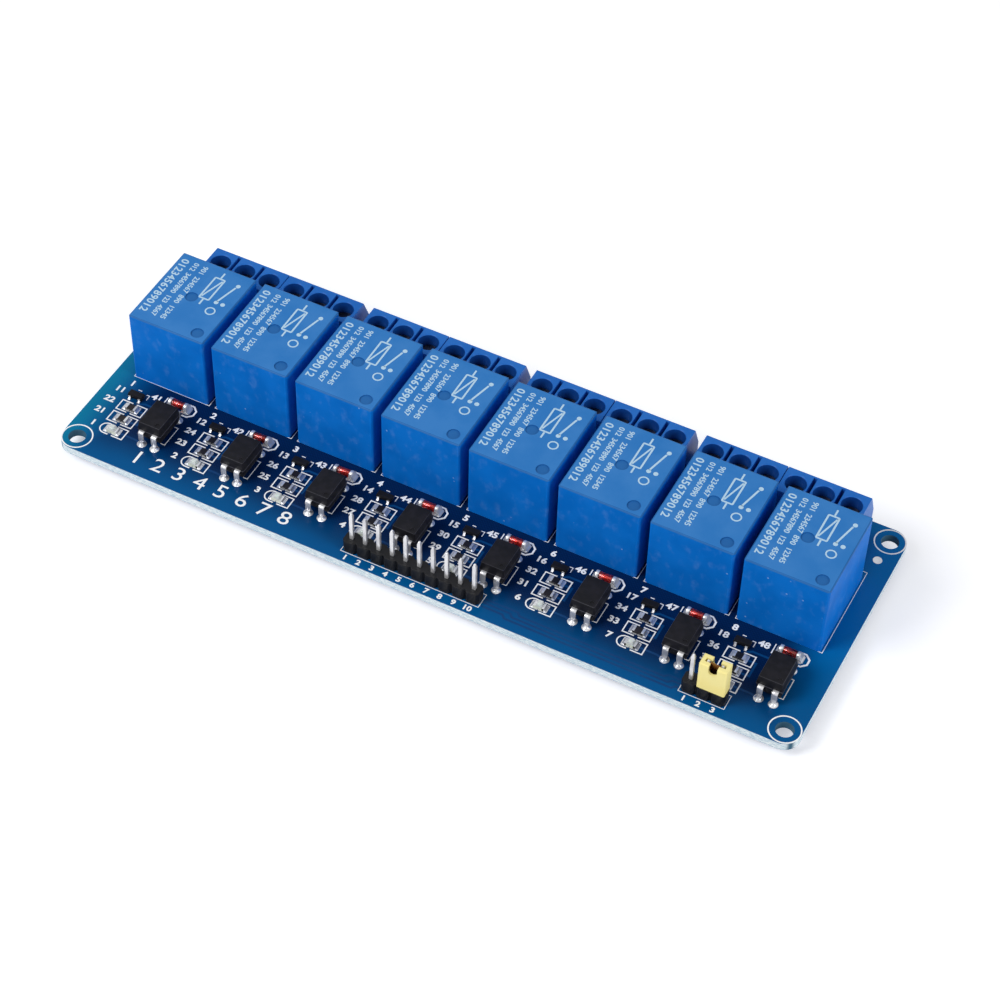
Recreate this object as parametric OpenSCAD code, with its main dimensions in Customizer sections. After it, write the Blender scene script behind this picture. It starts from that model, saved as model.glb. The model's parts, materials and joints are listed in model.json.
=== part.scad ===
// Relay module board with one channel per relay: circuit board, sealed relays with
// their working parts, pluggable screw terminals, driver parts and pin headers.
// Frame: X runs along the board, Y from the header edge to the terminal edge, Z up.
// The origin is under the middle of the board, at the tips of the soldered leads.

/* [Board] */
// Number of relay channels
channels = 8; // [2:2:8]
// Thickness of the circuit board
board_t = 1.6; // [1.2:0.2:2.4]
// Board left over past the last relay channel at each end
end_margin = 3.0; // [3:0.1:8]
// Radius of the board corners
board_corner_r = 3.0; // [1:0.1:4]
// Diameter of the four mounting holes
mount_hole_d = 3.1; // [2.5:0.1:3.4]
// Mounting hole centre from the board's end
mount_inset_x = 2.8; // [2.4:0.1:3]
// Mounting hole centre from the board's long edge
mount_inset_y = 2.9; // [2.4:0.1:4]
// Lead length that stands out under the board
lead_below = 2.0; // [1.4:0.1:3]

/* [Rows across the board] */
// Board edge to the centre line of the pin headers
header_edge = 3.35; // [2.2:0.05:6]
// Header centre line to the front of the relays
driver_zone = 16.48; // [16:0.02:22]
// Relay back to the front of the terminal blocks
relay_terminal_gap = 2.27; // [0.5:0.01:6]
// Back of the terminal blocks to the board edge
terminal_edge = 2.2; // [0:0.05:6]

/* [Relay] */
// Width of a relay case
relay_w = 14.9; // [14.6:0.1:16]
// Length of a relay case
relay_l = 18.1; // [17.8:0.1:20]
// Height of a relay case above the board
relay_h = 14.9; // [14.7:0.1:17]
// Gap between neighbouring relay cases
relay_gap = 1.6; // [0.4:0.1:4]
// Wall of a relay case
relay_wall = 0.8; // [0.5:0.05:0.9]
// Radius of the upright edges of a relay case
relay_edge_r = 0.5; // [0.2:0.05:1]
// Radius of the top edges of a relay case
relay_top_r = 0.4; // [0.2:0.05:0.7]
// Diameter of the round marks in the top of the case
dimple_d = 2.3; // [1:0.1:3]
// Depth of the round marks in the top of the case
dimple_depth = 0.2; // [0.05:0.01:0.3]
// Common pin and switched pins from the ends of the case
pin_end_inset = 1.95; // [1.85:0.05:2.05]
// Coil and switched pins from the sides of the case
pin_side_inset = 1.45; // [1.35:0.05:1.6]
// Distance from the common pin to the coil pins
coil_pin_step = 2.0; // [1.6:0.1:2.4]
// Height of the base plate's underside above the board
base_rise = 0.4; // [0.1:0.05:0.6]
// Thickness of the base plate
base_t = 1.5; // [1:0.1:1.7]
// Thickness of the iron yoke
yoke_t = 1.1; // [0.8:0.05:1.2]
// Width of the iron yoke
yoke_w = 8.0; // [6:0.1:9]
// Room behind the coil for the contacts
contact_room = 5.05; // [4.9:0.05:5.5]
// Thickness of each coil flange
flange_t = 0.8; // [0.5:0.05:0.9]
// Room between the closed contact and the top of the case
case_headroom = 0.65; // [0.3:0.05:1]
// Depth of the coil winding below the edge of its flanges
winding_inset = 0.4; // [0.2:0.05:1]
// Diameter of the iron core
core_d = 3.2; // [2.4:0.1:3.6]
// Diameter of the core's pole face
pole_d = 5.4; // [4.4:0.1:5.6]
// Thickness of the core's pole face
pole_t = 0.6; // [0.4:0.05:0.7]
// Open gap between the pole face and the armature
pole_gap = 0.4; // [0.36:0.01:0.5]
// Thickness of the armature plate
armature_t = 0.9; // [0.6:0.05:1]
// Width of the armature plate
armature_w = 8.4; // [6:0.1:9]
// Angle that the armature closes through
armature_swing = 2.4; // [1:0.1:2.4]
// Diameter of the moving contact
contact_d = 2.0; // [1.4:0.1:2.2]

/* [Terminal block] */
// Distance between neighbouring poles
pole_pitch = 5.0; // [4.9:0.02:5.08]
// Depth of a block from its plain face to its wire face
block_d = 7.8; // [7.6:0.1:9]
// Height of a block
block_h = 10.0; // [9.4:0.1:12]
// Depth of a block's flat top
block_top_d = 5.85; // [5.2:0.05:6.4]
// Height at which the wire face starts to lean back
block_slope_z = 5.6; // [5.5:0.1:7]
// Seam between two blocks that are pushed together
block_seam = 0.16; // [0.1:0.02:0.4]
// Gap between pairs of blocks
pair_gap = 2.05; // [1:0.05:3]
// Screw line from the plain face of the block
screw_line = 2.9; // [2.8:0.05:3.1]
// Diameter of a screw well
well_d = 3.7; // [3.5:0.05:3.8]
// Width of the sloping rim round a screw well
well_rim = 0.15; // [0.1:0.05:0.35]
// Diameter of a terminal screw's head
screw_head_d = 3.4; // [3:0.05:3.45]
// Height of a terminal screw's head
screw_head_h = 1.2; // [1:0.1:1.8]
// Thread diameter of a terminal screw
screw_d = 2.4; // [2:0.1:2.5]
// Width of a wire opening
entry_w = 3.4; // [2.6:0.1:3.6]
// Height of a wire opening
entry_h = 3.6; // [2.8:0.05:3.7]
// Flare round a wire opening
entry_flare = 0.35; // [0.1:0.05:0.4]
// Width of the slit between poles
slit_w = 0.7; // [0.4:0.05:0.8]
// Depth of the slit between poles
slit_h = 4.5; // [2:0.1:5]
// Wall that closes the slit at both ends
slit_wall = 0.35; // [0.25:0.05:1]
// Wall of a clamp cage
cage_wall = 0.7; // [0.4:0.05:0.75]

/* [Driver parts] */
// Width of an optocoupler body
opto_w = 4.58; // [4.2:0.02:4.8]
// Length of an optocoupler body
opto_l = 6.4; // [6:0.1:6.6]
// Height of an optocoupler body
opto_h = 3.5; // [3:0.1:3.8]
// Space under an optocoupler body
opto_rise = 1.0; // [0.3:0.05:1.2]
// Distance between an optocoupler's two rows of leads
opto_rows = 7.62; // [7.5:0.01:7.9]
// Length of a glass diode over its caps
diode_l = 3.7; // [3.3:0.05:3.9]
// Diameter of a glass diode's caps
diode_d = 1.5; // [1.3:0.05:1.7]
// Length of each diode cap
diode_cap_l = 0.65; // [0.4:0.05:0.8]
// Length of a transistor body
transistor_l = 2.9; // [2.7:0.1:3.1]
// Width of a transistor body
transistor_w = 1.3; // [1.2:0.05:1.4]
// Height of a transistor over the board
transistor_h = 1.05; // [0.9:0.05:1.2]
// Length of a chip resistor
chip_l = 2.0; // [1.8:0.05:2.2]
// Width of a chip resistor
chip_w = 1.25; // [1:0.05:1.4]
// Height of a chip resistor
chip_t = 0.5; // [0.4:0.05:0.6]
// Height of an indicator
led_h = 1.1; // [0.8:0.05:1.3]
// Distance between the rows of chips
chip_row_pitch = 2.97; // [2.4:0.01:3.1]

/* [Pin headers] */
// Distance between header pins
pin_pitch = 2.54; // [2.5:0.01:2.6]
// Side of a square header pin
pin_side = 0.64; // [0.5:0.01:0.7]
// Pin length above the header body
pin_above = 6.0; // [5.8:0.1:8]
// Height of the header body
header_h = 2.54; // [2:0.02:3]
// Height of the jumper cap
cap_h = 6.0; // [5.8:0.05:6.4]
// Width of the jumper cap, across its two pins
cap_w = 4.85; // [4.8:0.05:5]
// Thickness of the jumper cap
cap_d = 2.4; // [2.3:0.05:2.5]
// Width of the finger slot in the jumper cap
cap_slot_w = 1.5; // [1.2:0.05:1.6]

/* [Hidden] */
$fn = 32;
// Play between pieces that slide or plug into each other
play = 0.05;
// Play round a lead in its solder and in a moulded hole
lead_play = 0.02;
// Overrun of a cut past the face that it opens
cut = 0.5;

// Parts that switch and parts that stand once on each relay channel
channel_pitch = relay_w + relay_gap;
board_l = channels * channel_pitch + 2 * end_margin;
board_w = header_edge + driver_zone + relay_l + relay_terminal_gap + block_d + terminal_edge;
board_z = lead_below;
top_z = board_z + board_t;
header_y = -board_w / 2 + header_edge;
relay_front_y = header_y + driver_zone;
relay_y = relay_front_y + relay_l / 2;
block_front_y = relay_front_y + relay_l + relay_terminal_gap;
// The relay row and the terminal row sit a little left of the board's middle
relay_row_x = -0.15;
terminal_row_x = -0.8;
mount_x = board_l / 2 - mount_inset_x;
mount_y = board_w / 2 - mount_inset_y;

// Relay, from its own middle on the board's top face
relay_pin_x = relay_w / 2 - pin_side_inset;
com_y = pin_end_inset - relay_l / 2;
coil_pin_y = com_y + coil_pin_step;
switched_y = relay_l / 2 - pin_end_inset;
yoke_case_gap = 0.15;
yoke_front_y = relay_wall + yoke_case_gap - relay_l / 2;
yoke_back_y = yoke_front_y + yoke_t;
coil_yoke_gap = 0.4;
flange_front_y = yoke_back_y + coil_yoke_gap;
flange_side = relay_l / 2 - relay_wall - contact_room - flange_front_y;
core_y = flange_front_y + flange_side / 2;
coil_d = flange_side - 2 * winding_inset;
yoke_past_core = 1.4;
foot_z = base_rise + base_t;
bobbin_z = foot_z + yoke_t;
bobbin_wall = 0.6;
strip_t = 0.4;
rivet_t = 0.4;
contact_proud = 0.4;
armature_z = relay_h - relay_wall - case_headroom - strip_t - rivet_t - play - contact_proud;
pole_z = armature_z - pole_gap - pole_t;
coil_len = pole_z - bobbin_z - 2 * flange_t;
hinge_gap = 0.1;
hinge_overhang = 0.4;
armature_past_flange = 0.4;
spring_t = 0.25;
spring_w = 3.2;
spring_pole_gap = 0.4;
spring_past_contact = 0.1;
contact_setback = 0.9;
contact_y = switched_y - contact_setback;
rivet_step = 0.1;
rivet_d = contact_d - 2 * rivet_step;
rivet_margin = 0.3;
contact_drop = (contact_y + contact_d / 2 - yoke_back_y) * sin(armature_swing);
moving_low_z = armature_z - spring_t - contact_proud;
moving_high_z = armature_z + contact_proud;
open_tab_z = moving_low_z - contact_drop - play - rivet_t - strip_t;
closed_tab_z = moving_high_z + play + rivet_t;
pin_w = 1.0;
com_pin_t = 0.8;
coil_pin_d = 0.8;
relay_hole_d = 1.4;
dimple_inset = [2.15, 1.95];
dimple_places = [[-0.25, 0], [relay_w / 2 - dimple_inset[0], dimple_inset[1] - relay_l / 2]];

// Terminal block, from the middle of its plain face
poles = 3;
block_play = 0.1;
block_w = poles * pole_pitch - block_play;
pair_pitch = 2 * block_w + block_seam + pair_gap;
pairs = ceil(channels / 2);
pole_wall = 1.2;
cage_w = pole_pitch - pole_wall;
cage_l = 4.0;
cage_z = 1.2;
cage_spare_h = 0.05;
cage_h = entry_h + 2 * cage_wall + cage_spare_h;
screw_seat_t = 0.2;
screw_z = cage_z + cage_h + screw_seat_t;
guard_t = 0.3;
guard_gap = 1.1;
rail_h = 5.0;
rail_reach = 0.5;
rail_root = 0.9;
rail_tip = 1.3;
screw_slot_w = 0.6;
screw_slot_depth = 0.7;
screw_turn = 35;
terminal_pin_d = 1.0;
terminal_hole_d = 1.3;

// Driver parts, from the middle of a channel and the front of the relays
diode_x = 3.4;
diode_row = 2.8;
glass_step = 0.05;
opto_x = 3.72;
opto_row = 9.43;
opto_draft = 0.25;
opto_lead_w = 1.2;
opto_lead_t = 0.25;
opto_foot_w = 0.5;
opto_hole_d = 0.9;
opto_mark_d = 0.8;
opto_mark_depth = 0.15;
opto_mark_inset = 1.0;
transistor_x = -4.3;
transistor_row = 4.3;
transistor_rise = 0.1;
transistor_draft = 0.12;
transistor_lead_x = 0.95;
gull_w = 0.45;
gull_t = 0.15;
gull_reach = 0.55;
gull_knee = 0.2;
chip_x = -3.65;
chip_row = 7.0;
chip_end_l = 0.4;
foil_t = 0.03;
lens_lean = 0.15;
lens_gap = 0.02;

// Headers
supply_pins = 2;
signal_pins = channels + supply_pins;
signal_header_x = -0.7;
power_pins = 3;
power_from_channel = 5.5;
power_header_x = channel_x(channels) - power_from_channel;
header_notch = 0.45;
header_hole_d = 1.0;
pin_tip_l = 0.6;
pin_tip_side = 0.3;

// Jumper cap
cap_wall = 0.45;
cap_edge_r = 0.25;
cap_slot_depth = 1.9;
test_slot_w = 1.0;
test_slot_play = 0.08;
clip_t = 0.25;
clip_headroom = 1.2;
clip_bridge_drop = 0.4;

// Solder
solder_large_r = 1.3;
solder_small_r = 0.9;
solder_h = 1.1;
solder_top_h = 0.35;
chip_solder_l = 0.45;
diode_solder_l = 0.6;
// Share of a part's height that the solder climbs
solder_climb = 0.7;

// ---------- Places ----------

// Middle of relay channel i along the board
function channel_x(i) = relay_row_x + (i - (channels + 1) / 2) * channel_pitch;

// Middle of terminal block i along the board
function block_x(i) = terminal_row_x
    + (floor((i - 1) / 2) - (pairs - 1) / 2) * pair_pitch
    + ((i - 1) % 2 - 0.5) * (block_w + block_seam);

// X of each header pin about the header's middle
function pin_places(n) = [for (k = [0:n - 1]) (k - (n - 1) / 2) * pin_pitch];

// Children at relay i
module at_relay(i) {
    translate([channel_x(i), relay_y, top_z]) children();
}

// Children at every relay
module each_relay() {
    for (i = [1:channels]) at_relay(i) children();
}

// Children at a driver part's place on every channel
module each_driver(x, row) {
    for (i = [1:channels]) translate([channel_x(i) + x, relay_front_y - row, top_z]) children();
}

// Children at terminal block i
module at_block(i) {
    translate([block_x(i), block_front_y, top_z]) children();
}

// Children at every pole of every terminal block
module each_pole() {
    for (i = [1:channels], p = [-1:1]) at_block(i) translate([p * pole_pitch, screw_line, 0]) children();
}

// Children at each pin of a header with n pins
module each_header_pin(x, n) {
    for (dx = pin_places(n)) translate([x + dx, header_y, 0]) children();
}

// Children at the four leads of every optocoupler
module each_opto_lead() {
    each_driver(opto_x, opto_row)
        for (sx = [-1, 1], sy = [-1, 1])
            translate([sx * pin_pitch / 2, sy * opto_rows / 2, 0]) children();
}

// ---------- Shared shapes ----------

// Block centred in X and Y that stands on z = 0
module block(w, d, h) {
    translate([-w / 2, -d / 2, 0]) cube([w, d, h]);
}

// Block with rounded upright edges
module round_block(w, d, h, r) {
    linear_extrude(h) round_rect(w, d, r);
}

// Rounded rectangle made of plain shapes, so its arcs stay true
module round_rect(w, d, r) {
    square([w - 2 * r, d], center = true);
    square([w, d - 2 * r], center = true);
    for (x = [-1, 1], y = [-1, 1]) translate([x * (w / 2 - r), y * (d / 2 - r)]) circle(r);
}

// Upright outline that stands on y = 0, with rounded top corners
module round_top(w, h, r) {
    translate([-w / 2, 0]) square([w, h - r]);
    translate([r - w / 2, 0]) square([w - 2 * r, h]);
    for (s = [-1, 1]) translate([s * (w / 2 - r), h - r]) circle(r);
}

// Block with rounded upright and top edges
module case_block(w, d, h, edge_r, top_r) {
    intersection() {
        round_block(w, d, h, edge_r);
        rotate([90, 0, 0]) linear_extrude(d + cut, center = true) round_top(w, h, top_r);
        rotate([90, 0, 90]) linear_extrude(w + cut, center = true) round_top(d, h, top_r);
    }
}

// Block whose upright faces lean in towards the top
module lens(w, d, h, lean) {
    intersection() {
        rotate([90, 0, 0]) linear_extrude(d, center = true) lens_profile(w, h, lean);
        rotate([90, 0, 90]) linear_extrude(w, center = true) lens_profile(d, h, lean);
    }
}

// Side view of a block whose upright faces lean in
module lens_profile(w, h, lean) {
    polygon([[-w / 2, 0], [w / 2, 0], [w / 2 - lean, h], [-w / 2 + lean, h]]);
}

// Moulded body that tapers by the draft above and below its parting line
module moulded(w, d, h, taper) {
    intersection() {
        rotate([90, 0, 0]) linear_extrude(d, center = true) moulded_profile(w, h, taper);
        rotate([90, 0, 90]) linear_extrude(w, center = true) moulded_profile(d, h, taper);
    }
}

// Side view of a moulded body
module moulded_profile(w, h, taper) {
    polygon([
        [-w / 2 + taper, 0], [w / 2 - taper, 0], [w / 2, h / 2],
        [w / 2 - taper, h], [-w / 2 + taper, h], [-w / 2, h / 2]
    ]);
}

// Cone of solder round a lead, with its wide end on z = 0
module solder_cone(r, h) {
    difference() {
        cylinder(h = h, r1 = r, r2 = r * 0.5);
        translate([0, 0, -cut]) linear_extrude(h + 2 * cut) children();
    }
}

// The same cone under the board
module solder_under(r, h = solder_h) {
    translate([0, 0, board_z]) mirror([0, 0, 1]) solder_cone(r, h) children();
}

// Wedge of solder against a part's end, which faces +X and lies at x = 0
module solder_wedge(l, w, h) {
    translate([0, w / 2, 0]) rotate([90, 0, 0]) linear_extrude(w) polygon([[0, 0], [l, 0], [0, h]]);
}

// ---------- Circuit board ----------

module circuit_board() {
    color([0.03, 0.13, 0.36])
    translate([0, 0, board_z]) difference() {
        round_block(board_l, board_w, board_t, board_corner_r);
        for (x = [-1, 1], y = [-1, 1])
            translate([x * mount_x, y * mount_y, -cut]) cylinder(h = board_t + 2 * cut, d = mount_hole_d);
        translate([0, 0, -board_z]) lead_holes();
    }
}

// One plated hole through the board
module lead_hole(d) {
    translate([0, 0, board_z - cut]) cylinder(h = board_t + 2 * cut, d = d, $fn = 24);
}

module lead_holes() {
    for (i = [1:channels]) translate([channel_x(i), relay_y, 0]) {
        translate([0, com_y, 0]) lead_hole(relay_hole_d);
        for (s = [-1, 1]) {
            translate([s * relay_pin_x, coil_pin_y, 0]) lead_hole(relay_hole_d);
            translate([s * relay_pin_x, switched_y, 0]) lead_hole(relay_hole_d);
        }
    }
    translate([0, 0, -top_z]) each_pole() lead_hole(terminal_hole_d);
    translate([0, 0, -top_z]) each_opto_lead() lead_hole(opto_hole_d);
    each_header_pin(signal_header_x, signal_pins) lead_hole(header_hole_d);
    each_header_pin(power_header_x, power_pins) lead_hole(header_hole_d);
}

// ---------- Solder ----------

// Solder of every lead that goes through the board
module lead_solder() {
    color([0.78, 0.78, 0.8]) {
        for (i = [1:channels]) translate([channel_x(i), relay_y, 0]) {
            translate([0, com_y, 0]) solder_under(solder_large_r) pin_hole(pin_w, com_pin_t);
            for (s = [-1, 1]) {
                translate([s * relay_pin_x, coil_pin_y, 0])
                    solder_under(solder_large_r) circle(d = coil_pin_d + 2 * lead_play);
                translate([s * relay_pin_x, switched_y, 0])
                    solder_under(solder_large_r) pin_hole(pin_w, strip_t);
            }
        }
        translate([0, 0, -top_z]) each_pole()
            solder_under(solder_large_r) circle(d = terminal_pin_d + 2 * lead_play);
        translate([0, 0, -top_z]) each_opto_lead()
            solder_under(solder_small_r) pin_hole(opto_foot_w, opto_lead_t);
        each_opto_lead() solder_cone(solder_small_r, solder_top_h) pin_hole(opto_foot_w, opto_lead_t);
        for (h = [[signal_header_x, signal_pins], [power_header_x, power_pins]])
            each_header_pin(h[0], h[1]) solder_under(solder_small_r) pin_hole(pin_side, pin_side);
    }
}

// Outline that leaves room for a flat lead
module pin_hole(w, d) {
    square([w + 2 * lead_play, d + 2 * lead_play], center = true);
}

// Solder against the ends of the parts that sit on the board's top face
module surface_solder() {
    color([0.8, 0.8, 0.82]) {
        for (row = [0, 1, 2]) each_driver(chip_x, chip_row + row * chip_row_pitch)
            both_ends() translate([chip_l / 2, 0, 0])
                solder_wedge(chip_solder_l, chip_w, chip_t * solder_climb);
        each_driver(diode_x, diode_row) both_ends() translate([diode_l / 2, 0, 0])
            solder_wedge(diode_solder_l, diode_d, diode_d * solder_climb);
    }
}

// Children at +X and mirrored to -X
module both_ends() {
    children();
    mirror([1, 0, 0]) children();
}

// ---------- Relay ----------

// Case of one relay: a box, open below, over the mechanism
module relay_cover(i) {
    color([0.09, 0.32, 0.68]) at_relay(i) difference() {
        case_block(relay_w, relay_l, relay_h, relay_edge_r, relay_top_r);
        translate([0, 0, -cut])
            block(relay_w - 2 * relay_wall, relay_l - 2 * relay_wall, relay_h - relay_wall + cut);
        for (p = dimple_places)
            translate([p[0], p[1], relay_h - dimple_depth]) cylinder(h = cut, d = dimple_d);
    }
}

module relay_bases() {
    color([0.1, 0.2, 0.45]) each_relay() translate([0, 0, base_rise]) difference() {
        block(relay_w - 2 * (relay_wall + play), relay_l - 2 * (relay_wall + play), base_t);
        translate([0, com_y, -cut]) block(pin_w + 2 * play, com_pin_t + 2 * play, base_t + 2 * cut);
        for (s = [-1, 1]) {
            translate([s * relay_pin_x, coil_pin_y, -cut])
                cylinder(h = base_t + 2 * cut, d = coil_pin_d + 2 * play);
            translate([s * relay_pin_x, switched_y, -cut])
                block(pin_w + 2 * play, strip_t + 2 * play, base_t + 2 * cut);
        }
    }
}

// L-shaped iron frame: a foot under the coil and a leg up to the hinge edge
module relay_yokes() {
    foot_l = core_y + core_d / 2 + yoke_past_core - yoke_front_y;
    leg_h = armature_z - hinge_gap - foot_z;
    color([0.62, 0.62, 0.64]) each_relay() difference() {
        union() {
            translate([-yoke_w / 2, yoke_front_y, foot_z]) cube([yoke_w, foot_l, yoke_t]);
            translate([-yoke_w / 2, yoke_front_y, foot_z]) cube([yoke_w, yoke_t, leg_h]);
        }
        translate([0, core_y, foot_z - cut]) cylinder(h = yoke_t + 2 * cut, d = core_d + 2 * lead_play);
    }
}

// Iron core with its wide pole face
module relay_cores() {
    color([0.7, 0.7, 0.72]) each_relay() translate([0, core_y, 0]) {
        translate([0, 0, foot_z]) cylinder(h = pole_z - foot_z, d = core_d);
        translate([0, 0, pole_z]) cylinder(h = pole_t, d = pole_d);
    }
}

// Plastic spool of the coil
module relay_bobbins() {
    bobbin_h = coil_len + 2 * flange_t;
    color([0.9, 0.88, 0.8]) each_relay() translate([0, core_y, bobbin_z]) difference() {
        union() {
            block(flange_side, flange_side, flange_t);
            translate([0, 0, flange_t + coil_len]) block(flange_side, flange_side, flange_t);
            cylinder(h = bobbin_h, d = core_d + 2 * bobbin_wall);
        }
        translate([0, 0, -cut]) cylinder(h = bobbin_h + 2 * cut, d = core_d + 2 * lead_play);
    }
}

// Copper winding on the spool
module relay_coils() {
    color([0.72, 0.35, 0.15]) each_relay() translate([0, core_y, bobbin_z + flange_t]) difference() {
        cylinder(h = coil_len, d = coil_d);
        translate([0, 0, -cut])
            cylinder(h = coil_len + 2 * cut, d = core_d + 2 * (bobbin_wall + lead_play));
    }
}

// Common pin, which carries the yoke
module relay_common_pins() {
    color([0.8, 0.8, 0.8]) each_relay() translate([0, com_y, -top_z]) block(pin_w, com_pin_t, top_z + foot_z);
}

// Two round coil pins on each relay
module relay_coil_pins() {
    color([0.8, 0.8, 0.8]) each_relay() for (s = [-1, 1])
        translate([s * relay_pin_x, coil_pin_y, -top_z])
            cylinder(h = top_z + foot_z + flange_t, d = coil_pin_d);
}

// Fixed contact: a stamped strip from its pin up to a tab with a silver rivet
module fixed_contact(side, tab_z, rivet_z) {
    pin_side_x = relay_pin_x + pin_w / 2;
    rivet_side_x = rivet_d / 2 + rivet_margin;
    tab_y = contact_y - rivet_d / 2;
    translate([side * relay_pin_x, switched_y, -top_z]) block(pin_w, strip_t, top_z + tab_z + strip_t);
    translate([side > 0 ? -rivet_side_x : -pin_side_x, tab_y, tab_z])
        cube([pin_side_x + rivet_side_x, switched_y + strip_t / 2 - tab_y, strip_t]);
    translate([0, contact_y, rivet_z]) cylinder(h = rivet_t, d = rivet_d);
}

// Contacts that close when the coil is on, under the moving contact
module relay_open_contacts() {
    color([0.8, 0.72, 0.5]) each_relay() fixed_contact(1, open_tab_z, open_tab_z + strip_t);
}

// Contacts that are closed at rest, over the moving contact
module relay_closed_contacts() {
    color([0.8, 0.72, 0.5]) each_relay() fixed_contact(-1, closed_tab_z, closed_tab_z - rivet_t);
}

// Moving plate of one relay, with the contact spring riveted under it
module relay_armature(i) {
    plate_y = yoke_front_y + hinge_overhang;
    plate_end_y = core_y + flange_side / 2 + armature_past_flange;
    spring_y = core_y + pole_d / 2 + spring_pole_gap;
    spring_end_y = contact_y + contact_d / 2 + spring_past_contact;
    color([0.66, 0.66, 0.68]) at_relay(i) {
        translate([-armature_w / 2, plate_y, armature_z])
            cube([armature_w, plate_end_y - plate_y, armature_t]);
        translate([-spring_w / 2, spring_y, armature_z - spring_t])
            cube([spring_w, spring_end_y - spring_y, spring_t]);
        translate([0, contact_y, moving_low_z])
            cylinder(h = moving_high_z - moving_low_z, d = contact_d);
    }
}

// ---------- Terminal blocks ----------

// Moulded housing of one three-pole block
module terminal_housing(i) {
    color([0.1, 0.4, 0.82]) at_block(i) difference() {
        union() {
            translate([-block_w / 2, 0, 0]) rotate([90, 0, 90]) linear_extrude(block_w) block_profile();
            translate([block_w / 2, screw_line, 0]) linear_extrude(rail_h) rail_profile(0);
        }
        translate([-block_w / 2 - block_seam, screw_line, -cut])
            linear_extrude(rail_h + 2 * cut) rail_profile(play);
        for (p = [-1:1]) translate([p * pole_pitch, screw_line, 0]) pole_cuts();
        for (s = [-1, 1]) translate([s * pole_pitch / 2 - slit_w / 2, slit_wall, block_h - slit_h])
            cube([slit_w, block_top_d - 2 * slit_wall, slit_h + cut]);
    }
}

// Side view of a block, with its plain face at the left
module block_profile() {
    polygon([[0, 0], [block_d, 0], [block_d, block_slope_z], [block_top_d, block_h], [0, block_h]]);
}

// Dovetail that locks neighbouring blocks together
module rail_profile(grow) {
    root = rail_root / 2 + grow;
    tip = rail_tip / 2 + grow;
    reach = rail_reach + grow;
    polygon([[-play, -root], [reach, -tip], [reach, tip], [-play, root]]);
}

// Chamber, well and wire opening of one pole
module pole_cuts() {
    entry_z = cage_z + cage_wall;
    chamber_h = screw_z - screw_seat_t / 2;
    translate([0, 0, -cut]) block(cage_w + 2 * play, cage_l + 2 * play, chamber_h + cut);
    translate([0, 0, chamber_h - cut]) cylinder(h = block_h, d = well_d);
    translate([0, 0, block_h - well_rim])
        cylinder(h = 2 * well_rim, r1 = well_d / 2, r2 = well_d / 2 + 2 * well_rim);
    translate([-entry_w / 2, 0, entry_z]) cube([entry_w, block_d, entry_h]);
    translate([0, block_d - screw_line + entry_flare, entry_z + entry_h / 2]) rotate([90, 0, 0])
        lens(entry_w + 4 * entry_flare, entry_h + 4 * entry_flare, 2 * entry_flare, 2 * entry_flare);
}

// Metal cage that takes the wire; the screw is threaded through its top
module terminal_cages() {
    color([0.75, 0.72, 0.62]) each_pole() translate([0, 0, cage_z]) difference() {
        block(cage_w, cage_l, cage_h);
        translate([0, 0, cage_wall])
            block(cage_w - 2 * cage_wall, cage_l + 2 * cut, cage_h - 2 * cage_wall);
        translate([0, 0, cage_h - cage_wall - cut])
            cylinder(h = cage_wall + 2 * cut, d = screw_d + 2 * play);
    }
}

// Slotted clamping screws
module terminal_screws() {
    tip_z = cage_z + cage_h - cage_wall - guard_gap;
    color([0.72, 0.66, 0.5]) each_pole() difference() {
        union() {
            translate([0, 0, tip_z]) cylinder(h = screw_z - tip_z, d = screw_d);
            translate([0, 0, screw_z]) cylinder(h = screw_head_h, d = screw_head_d);
        }
        translate([0, 0, screw_z + screw_head_h - screw_slot_depth]) rotate(screw_turn)
            block(screw_head_d + 2 * cut, screw_slot_w, screw_slot_depth + cut);
    }
}

// Thin leaf under each screw, which keeps the thread off the wire
module terminal_wire_guards() {
    guard_z = cage_z + cage_h - cage_wall - guard_gap - guard_t;
    color([0.8, 0.8, 0.78]) each_pole() translate([0, 0, guard_z])
        block(cage_w - 2 * (cage_wall + play), cage_l, guard_t);
}

// Solder pin under each cage
module terminal_pins() {
    color([0.8, 0.8, 0.8]) each_pole() translate([0, 0, -top_z])
        cylinder(h = top_z + cage_z, d = terminal_pin_d);
}

// ---------- Driver parts ----------

module optocoupler_bodies() {
    color([0.08, 0.08, 0.09]) each_driver(opto_x, opto_row) translate([0, 0, opto_rise]) difference() {
        moulded(opto_w, opto_l, opto_h, opto_draft);
        translate([opto_w / 2 - opto_mark_inset, opto_mark_inset - opto_l / 2, opto_h - opto_mark_depth])
            cylinder(h = cut, d = opto_mark_d);
    }
}

// Flat leads: a wide shoulder out of the body's parting line and a narrow foot
module optocoupler_leads() {
    exit_z = opto_rise + opto_h / 2;
    shoulder_z = opto_rise * 0.8;
    inner_y = opto_rows / 2 - opto_l / 2;
    color([0.82, 0.82, 0.84]) each_driver(opto_x, opto_row)
        for (sx = [-1, 1], sy = [-1, 1]) translate([sx * pin_pitch / 2, 0, 0]) scale_y(sy) {
            translate([-opto_lead_w / 2, opto_rows / 2 - opto_lead_t / 2, shoulder_z])
                cube([opto_lead_w, opto_lead_t, exit_z + opto_lead_t / 2 - shoulder_z]);
            translate([-opto_lead_w / 2, opto_rows / 2 - inner_y, exit_z - opto_lead_t / 2])
                cube([opto_lead_w, inner_y, opto_lead_t]);
            translate([-opto_foot_w / 2, opto_rows / 2 - opto_lead_t / 2, -top_z])
                cube([opto_foot_w, opto_lead_t, top_z + shoulder_z]);
        }
}

// Children as they are, or mirrored front to back
module scale_y(side) {
    if (side > 0) children();
    else mirror([0, 1, 0]) children();
}

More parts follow.
